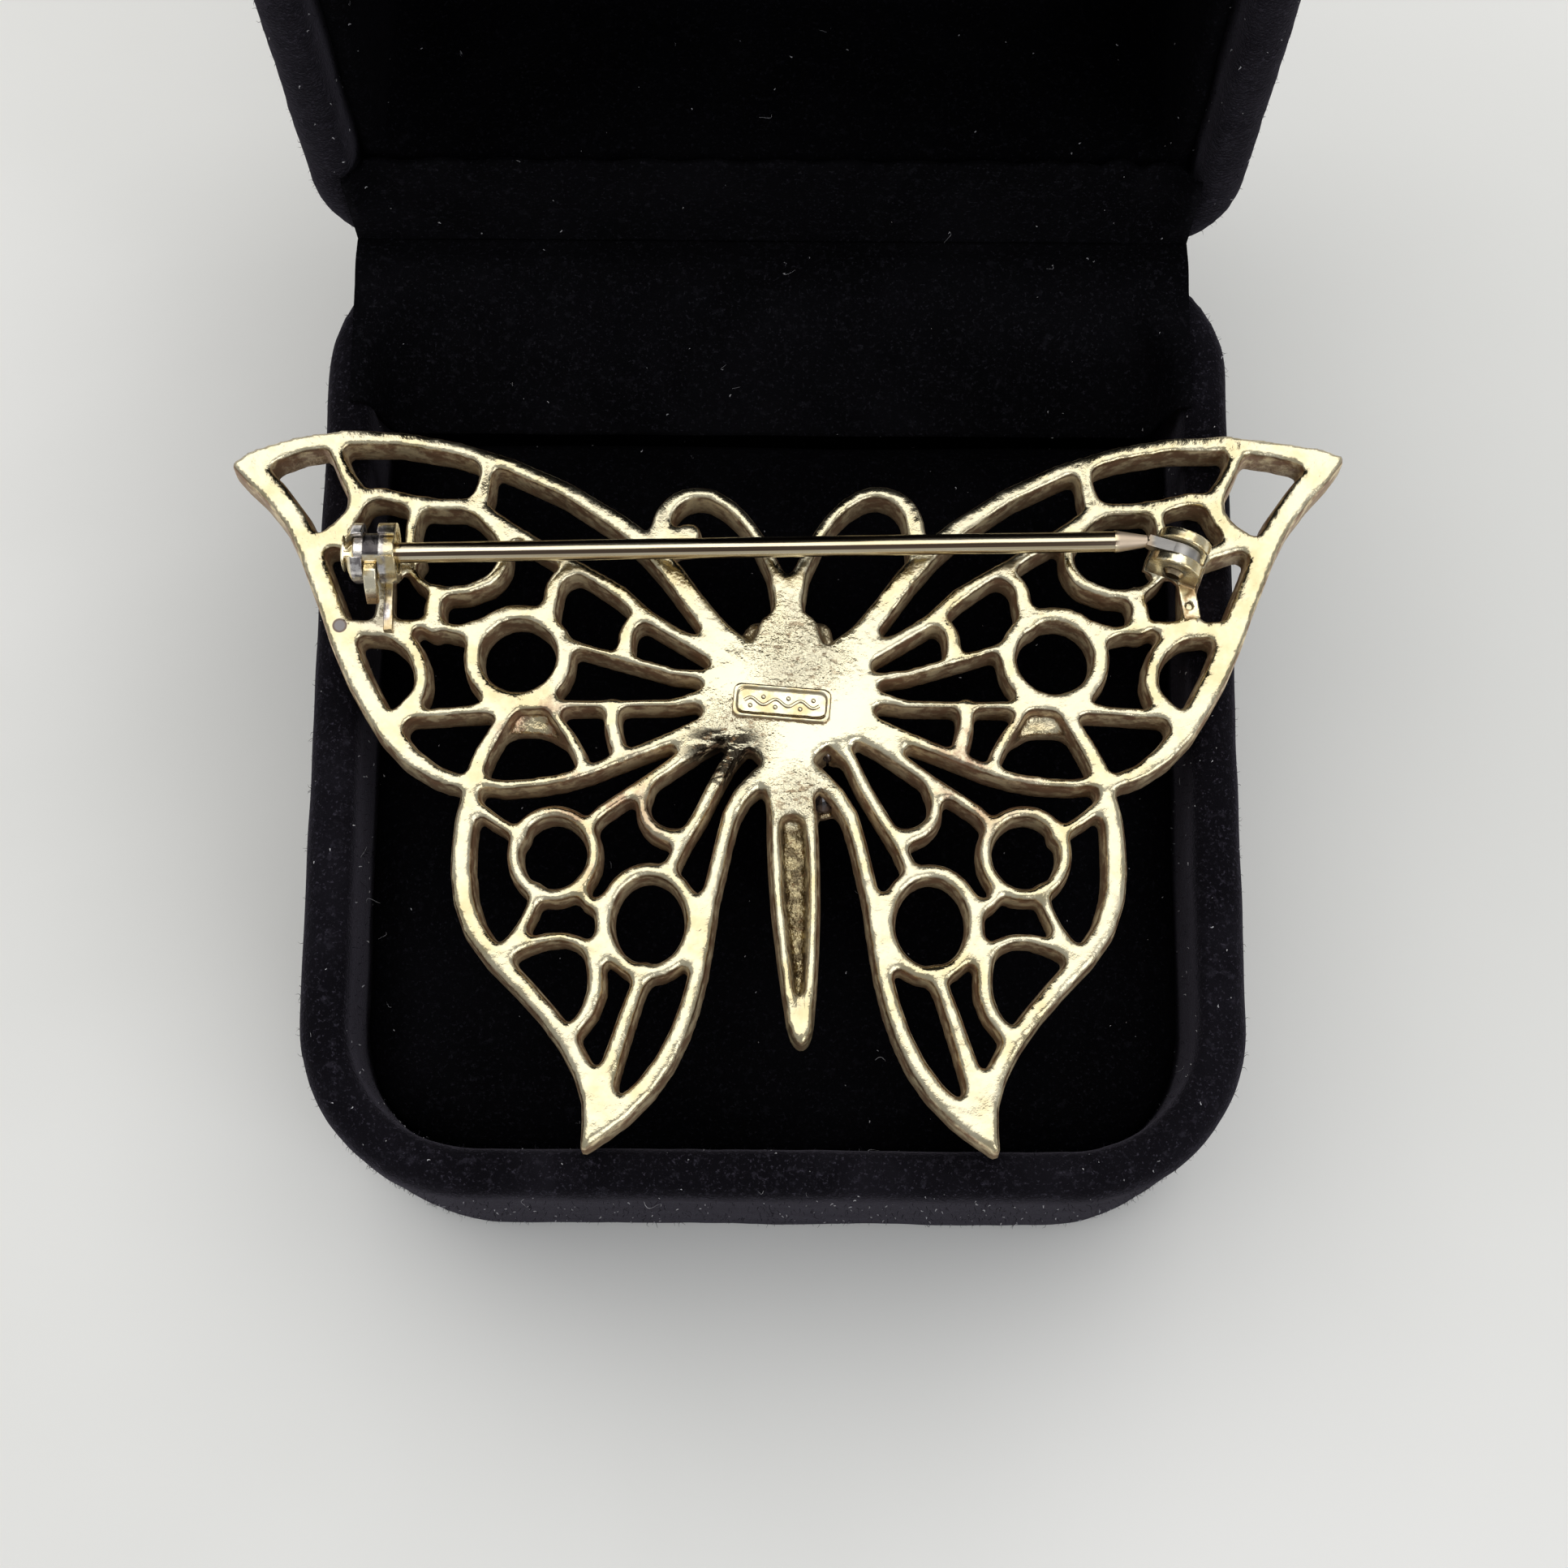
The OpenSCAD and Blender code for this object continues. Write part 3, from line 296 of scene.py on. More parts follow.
def abdomen_hollow(f):
    """1 inside the hollow of the abdomen, by its width, its depth and its two ends."""
    along = f.axis("Y")
    lean = f.times(f.plus(along, -HOLLOW_Y * MM), HOLLOW_LEAN)
    aside = f.math("ABSOLUTE", f.math("SUBTRACT", f.plus(f.axis("X"), -HOLLOW_X * MM), lean))
    inside = f.times(f.fall(aside, 0.62, 0.80), f.fall(f.axis("Z"), BACK_UP - 0.30, BACK_UP - 0.08))
    return f.times(inside, f.band(along, -19.2, -18.6, -7.6, -7.0))


def cast_gold():
    """Pale gold, rubbed bright on the flat back, with painted shade in brown down its walls and darker the
    deeper it lies, and rough in the hollow.
    """
    f = Finish("cast_gold")
    facing = f.facing()
    flat = f.fit(facing, 0.30, 0.86)
    depth = f.rise(f.axis("Z"), BACK_UP - 2.6, BACK_UP - 0.2)
    patches = f.noise(380, 4, 0.6)
    rubbed = f.mottled(patches, 0.30, 0.62, DULL_GOLD, RUBBED_GOLD)
    # painted shade: the walls are painted brown mottled with gold and darker towards their foot, and the flat
    # back is painted darker the deeper it lies
    wall = f.mottled(f.noise(900, 4, 0.65), 0.42, 0.62, WALL_SHADE_BROWN, WALL_GOLD)
    wall = f.mix(depth, WALL_FOOT_SHADE, wall)
    colour = f.mix(flat, wall, f.mix(depth, DEEP_SHADE_GOLD, rubbed))
    # painted shade: a dark line where the strands turn down into their walls
    shoulder_shade = f.times(f.fit(facing, 0.25, 0.55), f.fit(facing, 0.55, 0.85, 1.0, 0.0))
    shoulder_shade = f.times(shoulder_shade, f.fit(f.noise(700, 3, 0.6), 0.36, 0.54))
    colour = f.mix(f.times(shoulder_shade, 0.85), colour, EDGE_SHADE)
    # tarnish on the strands of both lower wings and on a ring of the left one
    stain = f.times(f.spots(TARNISH_SPOTS), f.fit(f.noise(520, 5, 0.7), 0.44, 0.60))
    colour = f.mix(f.times(stain, 0.8), colour, TARNISH)
    # painted highlight: the middle of the flat back is painted brightest
    colour = f.mix(f.times(f.spot(*MIDDLE_HIGHLIGHT_SPOT), flat, 0.75), colour, HIGHLIGHT_GOLD)
    # coarse dark scale just below the nameplate's left end
    scale = f.fit(f.noise(1100, 4, 0.7, f.stretched(0.5, 1.8, 1.0)), 0.43, 0.47)
    scale = f.times(f.spot(*SCALE_SPOT), scale, f.fall(f.axis("Y"), -2.3, -2.0))
    colour = f.mix(f.times(scale, 0.96), colour, BLACK_SCALE)
    # the abdomen's hollow is brown and rough, with a little bright metal
    hollow = abdomen_hollow(f)
    crust = f.mottled(f.noise(1500, 4, 0.7), 0.42, 0.62, CRUST_BROWN, CRUST_GOLD)
    colour = f.mix(f.times(hollow, 0.9), colour, crust)
    # the plug of grey solder in the left wing's rim, and solder near the catch
    colour = f.mix(f.spot(*DOT_RIM_SPOT), colour, DOT_RIM)
    colour = f.mix(f.spot(*DOT_SPOT), colour, DOT_GREY)
    colour = f.mix(f.times(f.spot(*SOLDER_SPOT), 0.5), colour, SOLDER_GREY)
    # short brown marks where the metal is rough
    rough_spots = f.largest(f.spots(ROUGH_SPOTS), f.math("SUBTRACT", 1.0, depth), hollow)
    marks = f.fit(f.noise(2300, 3, 0.65, f.stretched(0.75, 1.35, 1.0)), 0.56, 0.63)
    colour = f.mix(f.times(rough_spots, marks, 0.75), colour, MARK_BROWN)
    rough = f.plus(f.fit(patches, 0.3, 0.7, 0.16, 0.30), f.times(rough_spots, 0.07))
    rough = f.plus(rough, f.fit(facing, 0.2, 0.8, 0.22, 0.0))
    grain = f.fit(f.noise(2600, 3, 0.6), 0.2, 0.8)
    waves = f.bump(f.noise(520, 2, 0.5), 0.35, 0.6)
    pits = f.bump(f.times(grain, rough_spots), 0.10, 0.7, waves)
    skin = f.bump(grain, 0.05, 0.35, pits)
    f.set(Base_Color=colour, Metallic=f.fit(facing, 0.1, 0.8, 0.55, 1.0), Roughness=rough, Normal=skin)
    return f.material


# The pin's wire: its line over y, its slope, and where its taper begins and ends in x
WIRE_Y = 7.379
WIRE_SLOPE = 0.02334
TAPER_START = (18.0, 18.4)
TAPER_END = (19.9, 20.3)


def drawn_wire():
    """Drawn wire with fine lines along it, matt and beige at its taper, grey at its tongue."""
    f = Finish("drawn_wire")
    along = f.axis("X")
    taper = f.band(along, *TAPER_START, *TAPER_END)
    tongue = f.rise(along, *TAPER_END)
    lines = f.noise(3000, 2, 0.6, f.stretched(0.03, 1.0, 1.0))
    gold = f.mottled(lines, 0.3, 0.7, (0.80, 0.66, 0.42), (0.96, 0.86, 0.64))
    # painted shade: two dark brown lines along the wire, on both sides of its ridge
    aside = f.plus(f.plus(f.axis("Y"), -WIRE_Y * MM), f.times(along, -WIRE_SLOPE))
    gold = f.mix(f.times(f.band(aside, -0.36, -0.32, -0.16, -0.11), 0.92), gold, (0.085, 0.045, 0.03))
    gold = f.mix(f.times(f.band(aside, 0.17, 0.22, 0.33, 0.38), 0.85), gold, (0.30, 0.18, 0.12))
    colour = f.mix(taper, gold, (0.62, 0.50, 0.38))
    colour = f.mix(tongue, colour, (0.40, 0.385, 0.37))
    rough = f.plus(f.fit(lines, 0.2, 0.8, 0.16, 0.26), f.times(taper, 0.26), f.times(tongue, 0.20))
    f.set(Base_Color=colour, Metallic=1.0, Roughness=rough, Normal=f.bump(lines, 0.03, 0.35))
    return f.material


def findings_gold():
    """Polished gold of the hinge's ears, the catch and the nameplate, silvery where solder ran over it, with
    a painted highlight in silver on the catch's right cheek.
    """
    f = Finish("findings_gold")
    wear = f.noise(1100, 3, 0.6)
    colour = f.mottled(wear, 0.36, 0.64, (0.72, 0.58, 0.32), (0.94, 0.86, 0.62))
    across = f.axis("X")
    from_middle = f.math("ABSOLUTE", across)
    # mottled brown low on the ears and cheeks, and painted shade in two fine lines down the sloping edges
    # round the nameplate
    low = f.times(f.fall(f.axis("Z"), BACK_UP + 0.2, BACK_UP + 1.0), f.rise(from_middle, 8, 9))
    colour = f.mix(f.times(low, f.fit(f.noise(900, 3, 0.6), 0.40, 0.60)), colour, (0.36, 0.24, 0.12))
    lines = f.times(f.fit(f.facing(), 0.55, 0.93, 1.0, 0.0), f.fall(from_middle, 8, 9))
    colour = f.mix(f.times(lines, 0.9), colour, (0.26, 0.15, 0.08))
    # silver solder on the catch's left cheek, just inside its dome, and a painted highlight in silver on part
    # of the right one
    silver = f.mottled(f.noise(1700, 3, 0.6), 0.40, 0.60, (0.30, 0.27, 0.27), (0.84, 0.80, 0.77))
    colour = f.mix(f.band(across, -22.48, -22.42, -21.6, -21.5), colour, silver)
    right = f.times(f.band(across, -21.3, -21.2, -20.7, -20.5), f.fit(f.noise(700, 2, 0.5), 0.42, 0.52))
    colour = f.mix(right, colour, silver)
    # painted shade: the pit in the hinge's tail is painted near black
    colour = f.mix(f.spot(*PIT_SHADE_SPOT), colour, (0.09, 0.05, 0.03))
    f.set(Base_Color=colour, Metallic=f.fit(f.facing(), 0.0, 0.6, 0.75, 1.0))
    f.set(Roughness=f.fit(wear, 0.3, 0.7, 0.30, 0.16), Normal=f.bump(f.noise(900, 2, 0.5), 0.2, 0.35))
    return f.material


def scroll_gold():
    """The nameplate's raised wave and beads: a painted highlight on their ridge, and painted shade in brown
    at their foot.
    """
    f = Finish("scroll_gold")
    f.set(Base_Color=f.mottled(f.facing(), 0.45, 0.85, (0.20, 0.12, 0.07), (0.93, 0.86, 0.62)))
    f.set(Metallic=1.0, Roughness=0.24)
    return f.material


# The roller's parts: its tab's gap in x, and in y where the slot with its painted shade ends and where the
# tab's facets change to a painted highlight and to painted shade
ROLLER_GAP = (-21.92, -21.84, -21.06, -20.98)
SLOT_LOW = (6.42, 6.54)
SLOT_HIGH = (8.0, 8.2)
TAB_HIGHLIGHT = (5.2, 5.4)
TAB_SHADE = (4.45, 4.65)
ROLLER_RIGHT = (-20.85, -20.65)


def roller_metal():
    """The roller, with painted shade in its slot in the catch's gap, and its tab of bright gold with a
    painted highlight and painted shade on its facets.
    """
    f = Finish("roller_metal")
    wear = f.noise(1800, 4, 0.65)
    silver = f.mottled(wear, 0.35, 0.65, (0.48, 0.45, 0.44), (0.84, 0.79, 0.72))
    gold = f.mottled(f.noise(1300, 2, 0.5), 0.40, 0.60, (0.72, 0.55, 0.26), (0.97, 0.90, 0.70))
    across = f.axis("X")
    up = f.axis("Y")
    gap = f.band(across, *ROLLER_GAP)
    # painted highlight and painted shade: a band of the tab painted bright, and the lowest band painted brown
    gold = f.mix(f.fall(up, *TAB_HIGHLIGHT), gold, (0.98, 0.90, 0.68))
    gold = f.mix(f.fall(up, *TAB_SHADE), gold, (0.45, 0.32, 0.20))
    colour = f.mix(f.times(gap, f.fall(up, *SLOT_LOW)), silver, gold)
    colour = f.mix(f.rise(across, *ROLLER_RIGHT), colour, (0.86, 0.76, 0.50))
    # painted shade: the slot in the catch's gap is painted near black
    slot = f.times(gap, f.band(up, *SLOT_LOW, *SLOT_HIGH), 0.93)
    colour = f.mix(slot, colour, (0.03, 0.025, 0.03))
    f.set(Base_Color=colour, Metallic=1.0, Roughness=f.fit(wear, 0.3, 0.7, 0.34, 0.20))
    f.set(Normal=f.bump(f.noise(2600, 3, 0.6), 0.06, 0.4))
    return f.material


def rivet_metal():
    """Worn, darker metal of the rivet."""
    f = Finish("rivet_metal")
    wear = f.noise(1800, 4, 0.65)
    f.set(Base_Color=f.mottled(wear, 0.35, 0.65, (0.22, 0.15, 0.09), (0.52, 0.42, 0.27)))
    f.set(Metallic=1.0, Roughness=f.fit(wear, 0.3, 0.7, 0.36, 0.22))
    f.set(Normal=f.bump(f.noise(4200, 3, 0.6), 0.04, 0.4))
    return f.material


def dark_crystal():
    """Foiled glass stone, dark from behind, with a glint in each facet."""
    f = Finish("dark_crystal")
    f.set(Base_Color=f.mottled(f.noise(1500, 2, 0.5), 0.4, 0.6, (0.03, 0.025, 0.03), (0.16, 0.12, 0.11)))
    f.set(Metallic=0.35, Roughness=0.08, Coat_Weight=1.0, Coat_Roughness=0.03, IOR=1.6)
    return f.material


# Size of the velvet's grain, in waves a metre
PILE_SCALE = 5200.0


def velvet(name, dark, light, sheen, tint):
    """Short pile velvet: dark ground, brushed patches and a soft sheen at its turned edges."""
    f = Finish(name)
    brushed = f.noise(110, 4, 0.6, distortion=0.6)
    grain = f.noise(PILE_SCALE, 3, 0.7)
    tufts = f.noise(PILE_SCALE * 0.36, 3, 0.7)
    colour = f.mottled(brushed, 0.35, 0.7, dark, light)
    colour = f.mottled(tufts, 0.54, 0.72, colour, [1.9 * c for c in light])
    colour = f.mottled(grain, 0.56, 0.72, colour, [4.0 * c for c in light])
    pile = f.bump(grain, 0.12, 0.8)
    f.set(Base_Color=colour, Roughness=0.95, Normal=f.bump(brushed, 0.4, 0.3, pile))
    f.set(Specular_IOR_Level=0.02, Sheen_Weight=sheen, Sheen_Roughness=0.42, Sheen_Tint=(*tint, 1.0))
    return f.material


def lint_white():
    """Pale lint and dust on the velvet."""
    f = Finish("lint_white")
    f.set(Base_Color=f.mix(f.noise(900, 2), (0.38, 0.37, 0.40), (0.62, 0.61, 0.63)))
    f.set(Roughness=0.9, Sheen_Weight=0.3)
    return f.material


def table_top():
    """Pale tabletop with faint warm and cool clouds."""
    f = Finish("table_top")
    clouds = f.noise(9, 4, 0.55, distortion=0.5)
    warm = f.noise(5, 2, 0.5, f.moved((0.3, 0.1, 0.0), (1, 1, 1)))
    colour = f.mottled(clouds, 0.3, 0.7, (0.755, 0.752, 0.728), (0.835, 0.828, 0.808))
    colour = f.mix(f.fit(warm, 0.52, 0.75, 0.0, 0.5), colour, (0.80, 0.745, 0.71))
    f.set(Base_Color=colour, Roughness=0.55, Normal=f.bump(f.noise(260, 3, 0.6), 0.2, 0.12))
    return f.material


GOLD = cast_gold()
WIRE = drawn_wire()
FINDINGS_GOLD = findings_gold()
SCROLL_GOLD = scroll_gold()
CATCH = roller_metal()
RIVET = rivet_metal()
STONE = dark_crystal()
SHELL_VELVET = velvet("shell_velvet", (0.0040, 0.0036, 0.0050), (0.0090, 0.0082, 0.0112),
                      0.23, (0.38, 0.35, 0.44))
LINING_VELVET = velvet("lining_velvet", (0.0014, 0.0013, 0.0018), (0.0026, 0.0025, 0.0033),
                       0.012, (0.35, 0.33, 0.40))
CLOTH_VELVET = velvet("hinge_cloth_velvet", (0.0024, 0.0023, 0.0030), (0.0046, 0.0044, 0.0056),
                      0.02, (0.36, 0.33, 0.42))
LINT = lint_white()


# Points closer than this are one point, and these layers of a mesh are all that its shape needs
MERGE_GAP = 0.001 * MM
PLAIN_LAYERS = ("position", ".edge_verts", ".corner_vert", ".corner_edge")


def merged_copy(node, name):
    """A copy of a CAD node's mesh with its loose triangles joined."""
    mesh = nodes[node].data.copy()
    mesh.name = name
    mesh.materials.clear()
    bm = bmesh.new()
    bm.from_mesh(mesh)
    bmesh.ops.remove_doubles(bm, verts=bm.verts, dist=MERGE_GAP)
    bm.to_mesh(mesh)
    bm.free()
    for key in list(mesh.attributes.keys()):
        if key not in PLAIN_LAYERS:
            attribute = mesh.attributes.get(key)
            if attribute is not None and not attribute.is_required:
                mesh.attributes.remove(attribute)
    return link_to_scene(name, mesh)


def shown_mesh(obj):
    """A plain mesh of what obj shows, with its modifiers applied."""
    graph = bpy.context.evaluated_depsgraph_get()
    graph.update()
    return bpy.data.meshes.new_from_object(obj.evaluated_get(graph))


def baked(obj):
    """obj with its modifiers applied."""
    mesh = shown_mesh(obj)
    obj.modifiers.clear()
    obj.data = mesh
    mesh.name = obj.name
    return obj


def remeshed(obj, cell, rounds, factor=0.5):
    """obj made anew from cells of that many mm, and relaxed so many rounds."""
    grid = obj.modifiers.new("grid", "REMESH")
    grid.mode = "VOXEL"
    grid.voxel_size = cell * MM
    relax = obj.modifiers.new("relax", "SMOOTH")
    relax.iterations = rounds
    relax.factor = factor
    return baked(obj)


def set_material(obj, material):
    obj.data.materials.clear()
    obj.data.materials.append(material)


def finish(obj, material, body):
    """Gives a piece its material and smooth shading, and its body unless it is blended."""
    set_material(obj, material)
    for polygon in obj.data.polygons:
        polygon.use_smooth = True
    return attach(obj, body) if body else obj


def object_of(name, bm):
    """An object of the scene from a bmesh, which is freed."""
    mesh = bpy.data.meshes.new(name)
    bm.to_mesh(mesh)
    bm.free()
    return link_to_scene(name, mesh)


def points_of(obj):
    co = np.empty(len(obj.data.vertices) * 3)
    obj.data.vertices.foreach_get("co", co)
    return co.reshape(-1, 3)


def set_points(obj, co):
    obj.data.vertices.foreach_set("co", co.reshape(-1))
    obj.data.update()


def normals_of(obj):
    n = np.empty(len(obj.data.vertices) * 3)
    obj.data.vertex_normals.foreach_get("vector", n)
    return n.reshape(-1, 3)


def soft_waves(co, size, height, seed):
    """Smooth random heights for many points, with waves of about that size and height, both in mm."""
    rng = np.random.default_rng(seed)
    count = 9
    total = np.zeros(len(co))
    for _ in range(count):
        way = rng.normal(size=3)
        way /= np.linalg.norm(way)
        waves = 2 * math.pi / (size * MM) * rng.uniform(0.6, 1.5)
        total += np.sin(co @ way * waves + rng.uniform(0, 2 * math.pi))
    return total / (count / 2) * height * MM


def boxes(name, corners):
    """One object with a box for each pair of low and high corners, in mm."""
    bm = bmesh.new()
    for low, high in corners:
        for v in bmesh.ops.create_cube(bm, size=1.0)["verts"]:
            v.co = [(b if c > 0 else a) * MM for c, a, b in zip(v.co, low, high)]
    return object_of(name, bm)


def cut_with(obj, tool, operation):
    mod = obj.modifiers.new("cut", "BOOLEAN")
    mod.operation = operation
    mod.object = tool
    mod.solver = "EXACT"
    return baked(obj)


# The casting: its back, how far its walls spread to its front, and the waves of its flat back
BACK_Z = BACK_UP * MM
CAST_DEPTH = 2.4 * MM
WALL_FLARE = 0.14 * MM
BACK_FLAT = 0.6
BACK_WAVE = 5.0
BACK_WAVE_UP = 0.035

# A point is on a wall where it faces up less than WALL_STEEP, up to WALL_TOP over the back, and on
# the flat up to FLAT_TOP. Each strand is rounded off over a width beside its walls, and down them
WALL_STEEP = 0.35
WALL_TOP = 0.05 * MM
FLAT_TOP = 0.12 * MM
SHOULDER_W = 0.20 * MM
SHOULDER_DROP = 0.11 * MM
SHOULDER_DEPTH = 0.9 * MM

# Cells of the rebuilt meshes, and what the findings lose when they are relaxed, in mm
LATTICE_CELL = 0.22
FINDINGS_CELL = 0.06
FINDINGS_LOSS = 0.008
ROLLER_CELL = 0.05
SHELL_CELL = 0.52

# Boxes over the back that hold the findings: both ends of the pin, and the nameplate
OVER_BACK = BACK_UP + 0.015
FINDINGS_ZONES = [((-27.5, 2.0, OVER_BACK), (-17.6, 12.0, 28.0)),
                  ((17.6, 2.0, OVER_BACK), (27.5, 12.0, 28.0)),
                  ((-2.6, -2.4, OVER_BACK), (3.5, 0.8, 24.0))]

# The catch: its middle, the direction of its axis, and the room of its cheeks along that axis, over
# the back and round the axis. A cheek is turned to its radius from CHEEK_TURNED on, and keeps a
# trace of its unevenness. Then the dome at the left end, which narrows the catch over its depth
CATCH_AT = np.array((-21.471, 6.878, 24.35)) * MM
CATCH_SLOPE = BROOCH_TURN + math.atan(0.020 / 1.3692)
CATCH_HALF_W = 1.5 * MM
CATCH_LOW = BACK_Z + 0.4 * MM
CHEEK_INNER = 0.2 * MM
CHEEK_OUTER = 1.8 * MM
CHEEK_R = 1.60 * MM
CHEEK_TURNED = 1.44 * MM
CHEEK_UNEVEN = 0.1
DOME_FROM = 0.84 * MM
DOME_DEPTH = 0.5 * MM
DOME_FALL = 0.80


def rounded_shoulders(co, n):
    """How far each point of the back sinks, by its distance from the nearest wall."""
    up = co[:, 2] - BACK_Z
    steep = n[:, 2] < WALL_STEEP
    high = up > -SHOULDER_DEPTH
    wall = np.nonzero(steep & high & (up < WALL_TOP))[0]
    tree = KDTree(len(wall))
    for i in wall:
        tree.insert(co[i], int(i))
    tree.balance()
    sink = np.zeros(len(co))
    for i in np.nonzero(~steep & high & (up < FLAT_TOP))[0]:
        gap = math.hypot(*(tree.find(co[i])[0].xy - Vector(co[i]).xy))
        sink[i] = SHOULDER_DROP * max(0.0, 1 - gap / SHOULDER_W) ** 2
    near_top = steep & high
    sink[near_top] = SHOULDER_DROP * np.clip(up[near_top] / SHOULDER_DEPTH + 1, 0, 1)
    return sink


def rounded_catch(co):
    """The catch's cheeks turned round, and the left one's end shaped to a dome."""
    axis = np.array((math.cos(CATCH_SLOPE), math.sin(CATCH_SLOPE), 0.0))
    along = (co - CATCH_AT) @ axis
    out = (co - CATCH_AT) - along[:, None] * axis
    r = np.linalg.norm(out, axis=1)
    cheek = (np.abs(along) < CATCH_HALF_W) & (co[:, 2] > CATCH_LOW) & (r > CHEEK_INNER) & (r < CHEEK_OUTER)
    new_r = np.where(r > CHEEK_TURNED, CHEEK_R + CHEEK_UNEVEN * (r - CHEEK_R), r)
    end = np.clip((-DOME_FROM - along) / DOME_DEPTH, 0, 1)
    new_r = new_r * np.sqrt(1 - DOME_FALL * end ** 2)
    scale = np.where(cheek, new_r / np.maximum(r, 0.01 * MM), 1.0)
    return CATCH_AT + along[:, None] * axis + out * scale[:, None]


def make_casting():
    """The lattice with its flat back, and in finer cells the crisp findings that stand on it."""
    lattice = merged_copy("casting", "brooch_casting")
    findings = merged_copy("casting", "brooch_findings")
    zones = boxes("zones", FINDINGS_ZONES)
    cut_with(lattice, zones, "DIFFERENCE")
    cut_with(findings, zones, "INTERSECT")
    bpy.data.objects.remove(zones)

    remeshed(lattice, LATTICE_CELL, 2)
    co = points_of(lattice)
    n = normals_of(lattice)
    # draft: the casting widens towards its front, so that its walls show from behind
    down = np.clip((BACK_Z - co[:, 2]) / CAST_DEPTH, 0, 1)
    flare = WALL_FLARE * (down * np.hypot(n[:, 0], n[:, 1]))[:, None] * n[:, :2]
    # hand finish: the flat back dips and rises a trace, and each strand is rounded off to its sides
    lift = soft_waves(co, BACK_WAVE, BACK_WAVE_UP, 4) * (n[:, 2] > BACK_FLAT) - rounded_shoulders(co, n)
    set_points(lattice, co + np.column_stack((flare, lift)))
    finish(lattice, GOLD, "box")

    remeshed(findings, FINDINGS_CELL, 6)
    swollen = points_of(findings) + normals_of(findings) * FINDINGS_LOSS * MM
    set_points(findings, rounded_catch(swollen))
    finish(findings, FINDINGS_GOLD, "box")
    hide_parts("casting")


def make_roller():
    roller = merged_copy("catch_roller", "roller_with_tab")
    remeshed(roller, ROLLER_CELL, 4)
    finish(roller, CATCH, "roller")
    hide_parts("catch_roller")


def paint_cad_nodes():
    """The pin, its rivet and the stones show as they are in the model."""
    set_material(nodes["pin_stem"], WIRE)
    set_material(nodes["hinge_rivet"], RIVET)
    for node in ("eye_left", "eye_right", "waist_stone", "side_stone"):
        set_material(nodes[node], STONE)


def make_shell(node, name, body, seed):
    """A box half in velvet: the solid's own shape with a soft, slightly uneven skin."""
    shell = merged_copy(node, name)
    remeshed(shell, SHELL_CELL, 4)
    co = points_of(shell)
    lift = soft_waves(co, 9, 0.05, seed) + soft_waves(co, 2.2, 0.02, seed + 1)
    set_points(shell, co + normals_of(shell) * lift[:, None])
    finish(shell, SHELL_VELVET, body)
    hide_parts(node)
    return shell


def make_cushion(node, name, body, seed, cell):
    """A cushion of foam under velvet, with soft edges and a faintly uneven top."""
    cushion = merged_copy(node, name)
    remeshed(cushion, cell, 10, 0.6)
    co = points_of(cushion)
    set_points(cushion, co + normals_of(cushion) * soft_waves(co, 14, 0.10, seed)[:, None])
    finish(cushion, LINING_VELVET, body)
    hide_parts(node)
    return cushion


# Cloth over the hinge: one sheet from the base's cushion over the rear rims and into the lid
CLOTH_W = 46.8
CLOTH_T = 0.3
CLOTH_LIFT = 0.22
CLOTH_SHIFT = -0.35
CLOTH_COLUMNS = 110

# Where it rises over a rim: how far inside the wall, and over which width. Behind CREST_Y it is past the rim
RISE_FROM = 1.1
RISE_W = 1.2
CREST_Y = 24.6

# Its folds by its free edge in the lid: from which y and over which length they grow, and their
# heights, with the place and half width of the large ones at the right end
FOLDS_FROM = 20.0
FOLDS_GROW = 2.9
SMALL_FOLD = 0.10
LARGE_FOLD = 0.22
LARGE_AT = 19.5
LARGE_W = 3.2

# Its section as y and height: in the base from front to rear, and in the lid's own frame from its rear
CLOTH_IN_BASE = [(17.0, 15.35), (18.6, 16.30), (20.4, 17.60), (22.2, 18.95), (23.6, 20.02),
                 (24.5, 20.30), (25.4, 20.32), (26.1, 20.12), (26.7, 19.95)]
CLOTH_IN_LID = [(24.3, 18.12), (22.6, 17.86), (21.0, 17.60), (19.4, 17.36), (18.2, 17.20), (17.15, 17.02)]


def smooth_line(points, per):
    """A smooth curve through the points, with so many steps from one to the next."""
    out = []
    for i in range(len(points) - 1):
        p = [Vector(points[min(max(i + k, 0), len(points) - 1)]) for k in (-1, 0, 1, 2)]
        for k in range(per):
            t = k / per
            out.append(0.5 * ((2 * p[1]) + (p[2] - p[0]) * t + (2 * p[0] - 5 * p[1] + 4 * p[2] - p[3]) * t * t
                              + (3 * p[1] - 3 * p[2] + p[3] - p[0]) * t ** 3))
    out.append(Vector(points[-1]))
    return out


def over_rim(x, y, half_w, up, rim_up):
    """Height of the cloth where it leaves the hollow and lies over the rim of a box half."""
    inner_r = REAR_R - WALL_T
    dx = abs(x) - (half_w - REAR_R)
    dy = abs(y) - (BOX_D / 2 - REAR_R)
    outside = min(max(dx, dy), 0.0) + math.hypot(max(dx, 0.0), max(dy, 0.0)) - inner_r
    t = min(1.0, max(0.0, (outside + RISE_FROM) / RISE_W))
    t = t * t * (3 - 2 * t)
    return max(up, up + (rim_up + CLOTH_LIFT - up) * t)


def across_the_hinge(piece):
    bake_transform(piece, "box", "lid", start=(0, 25.25 * MM, 20.1 * MM), end=(0, 27.35 * MM, 20.4 * MM))


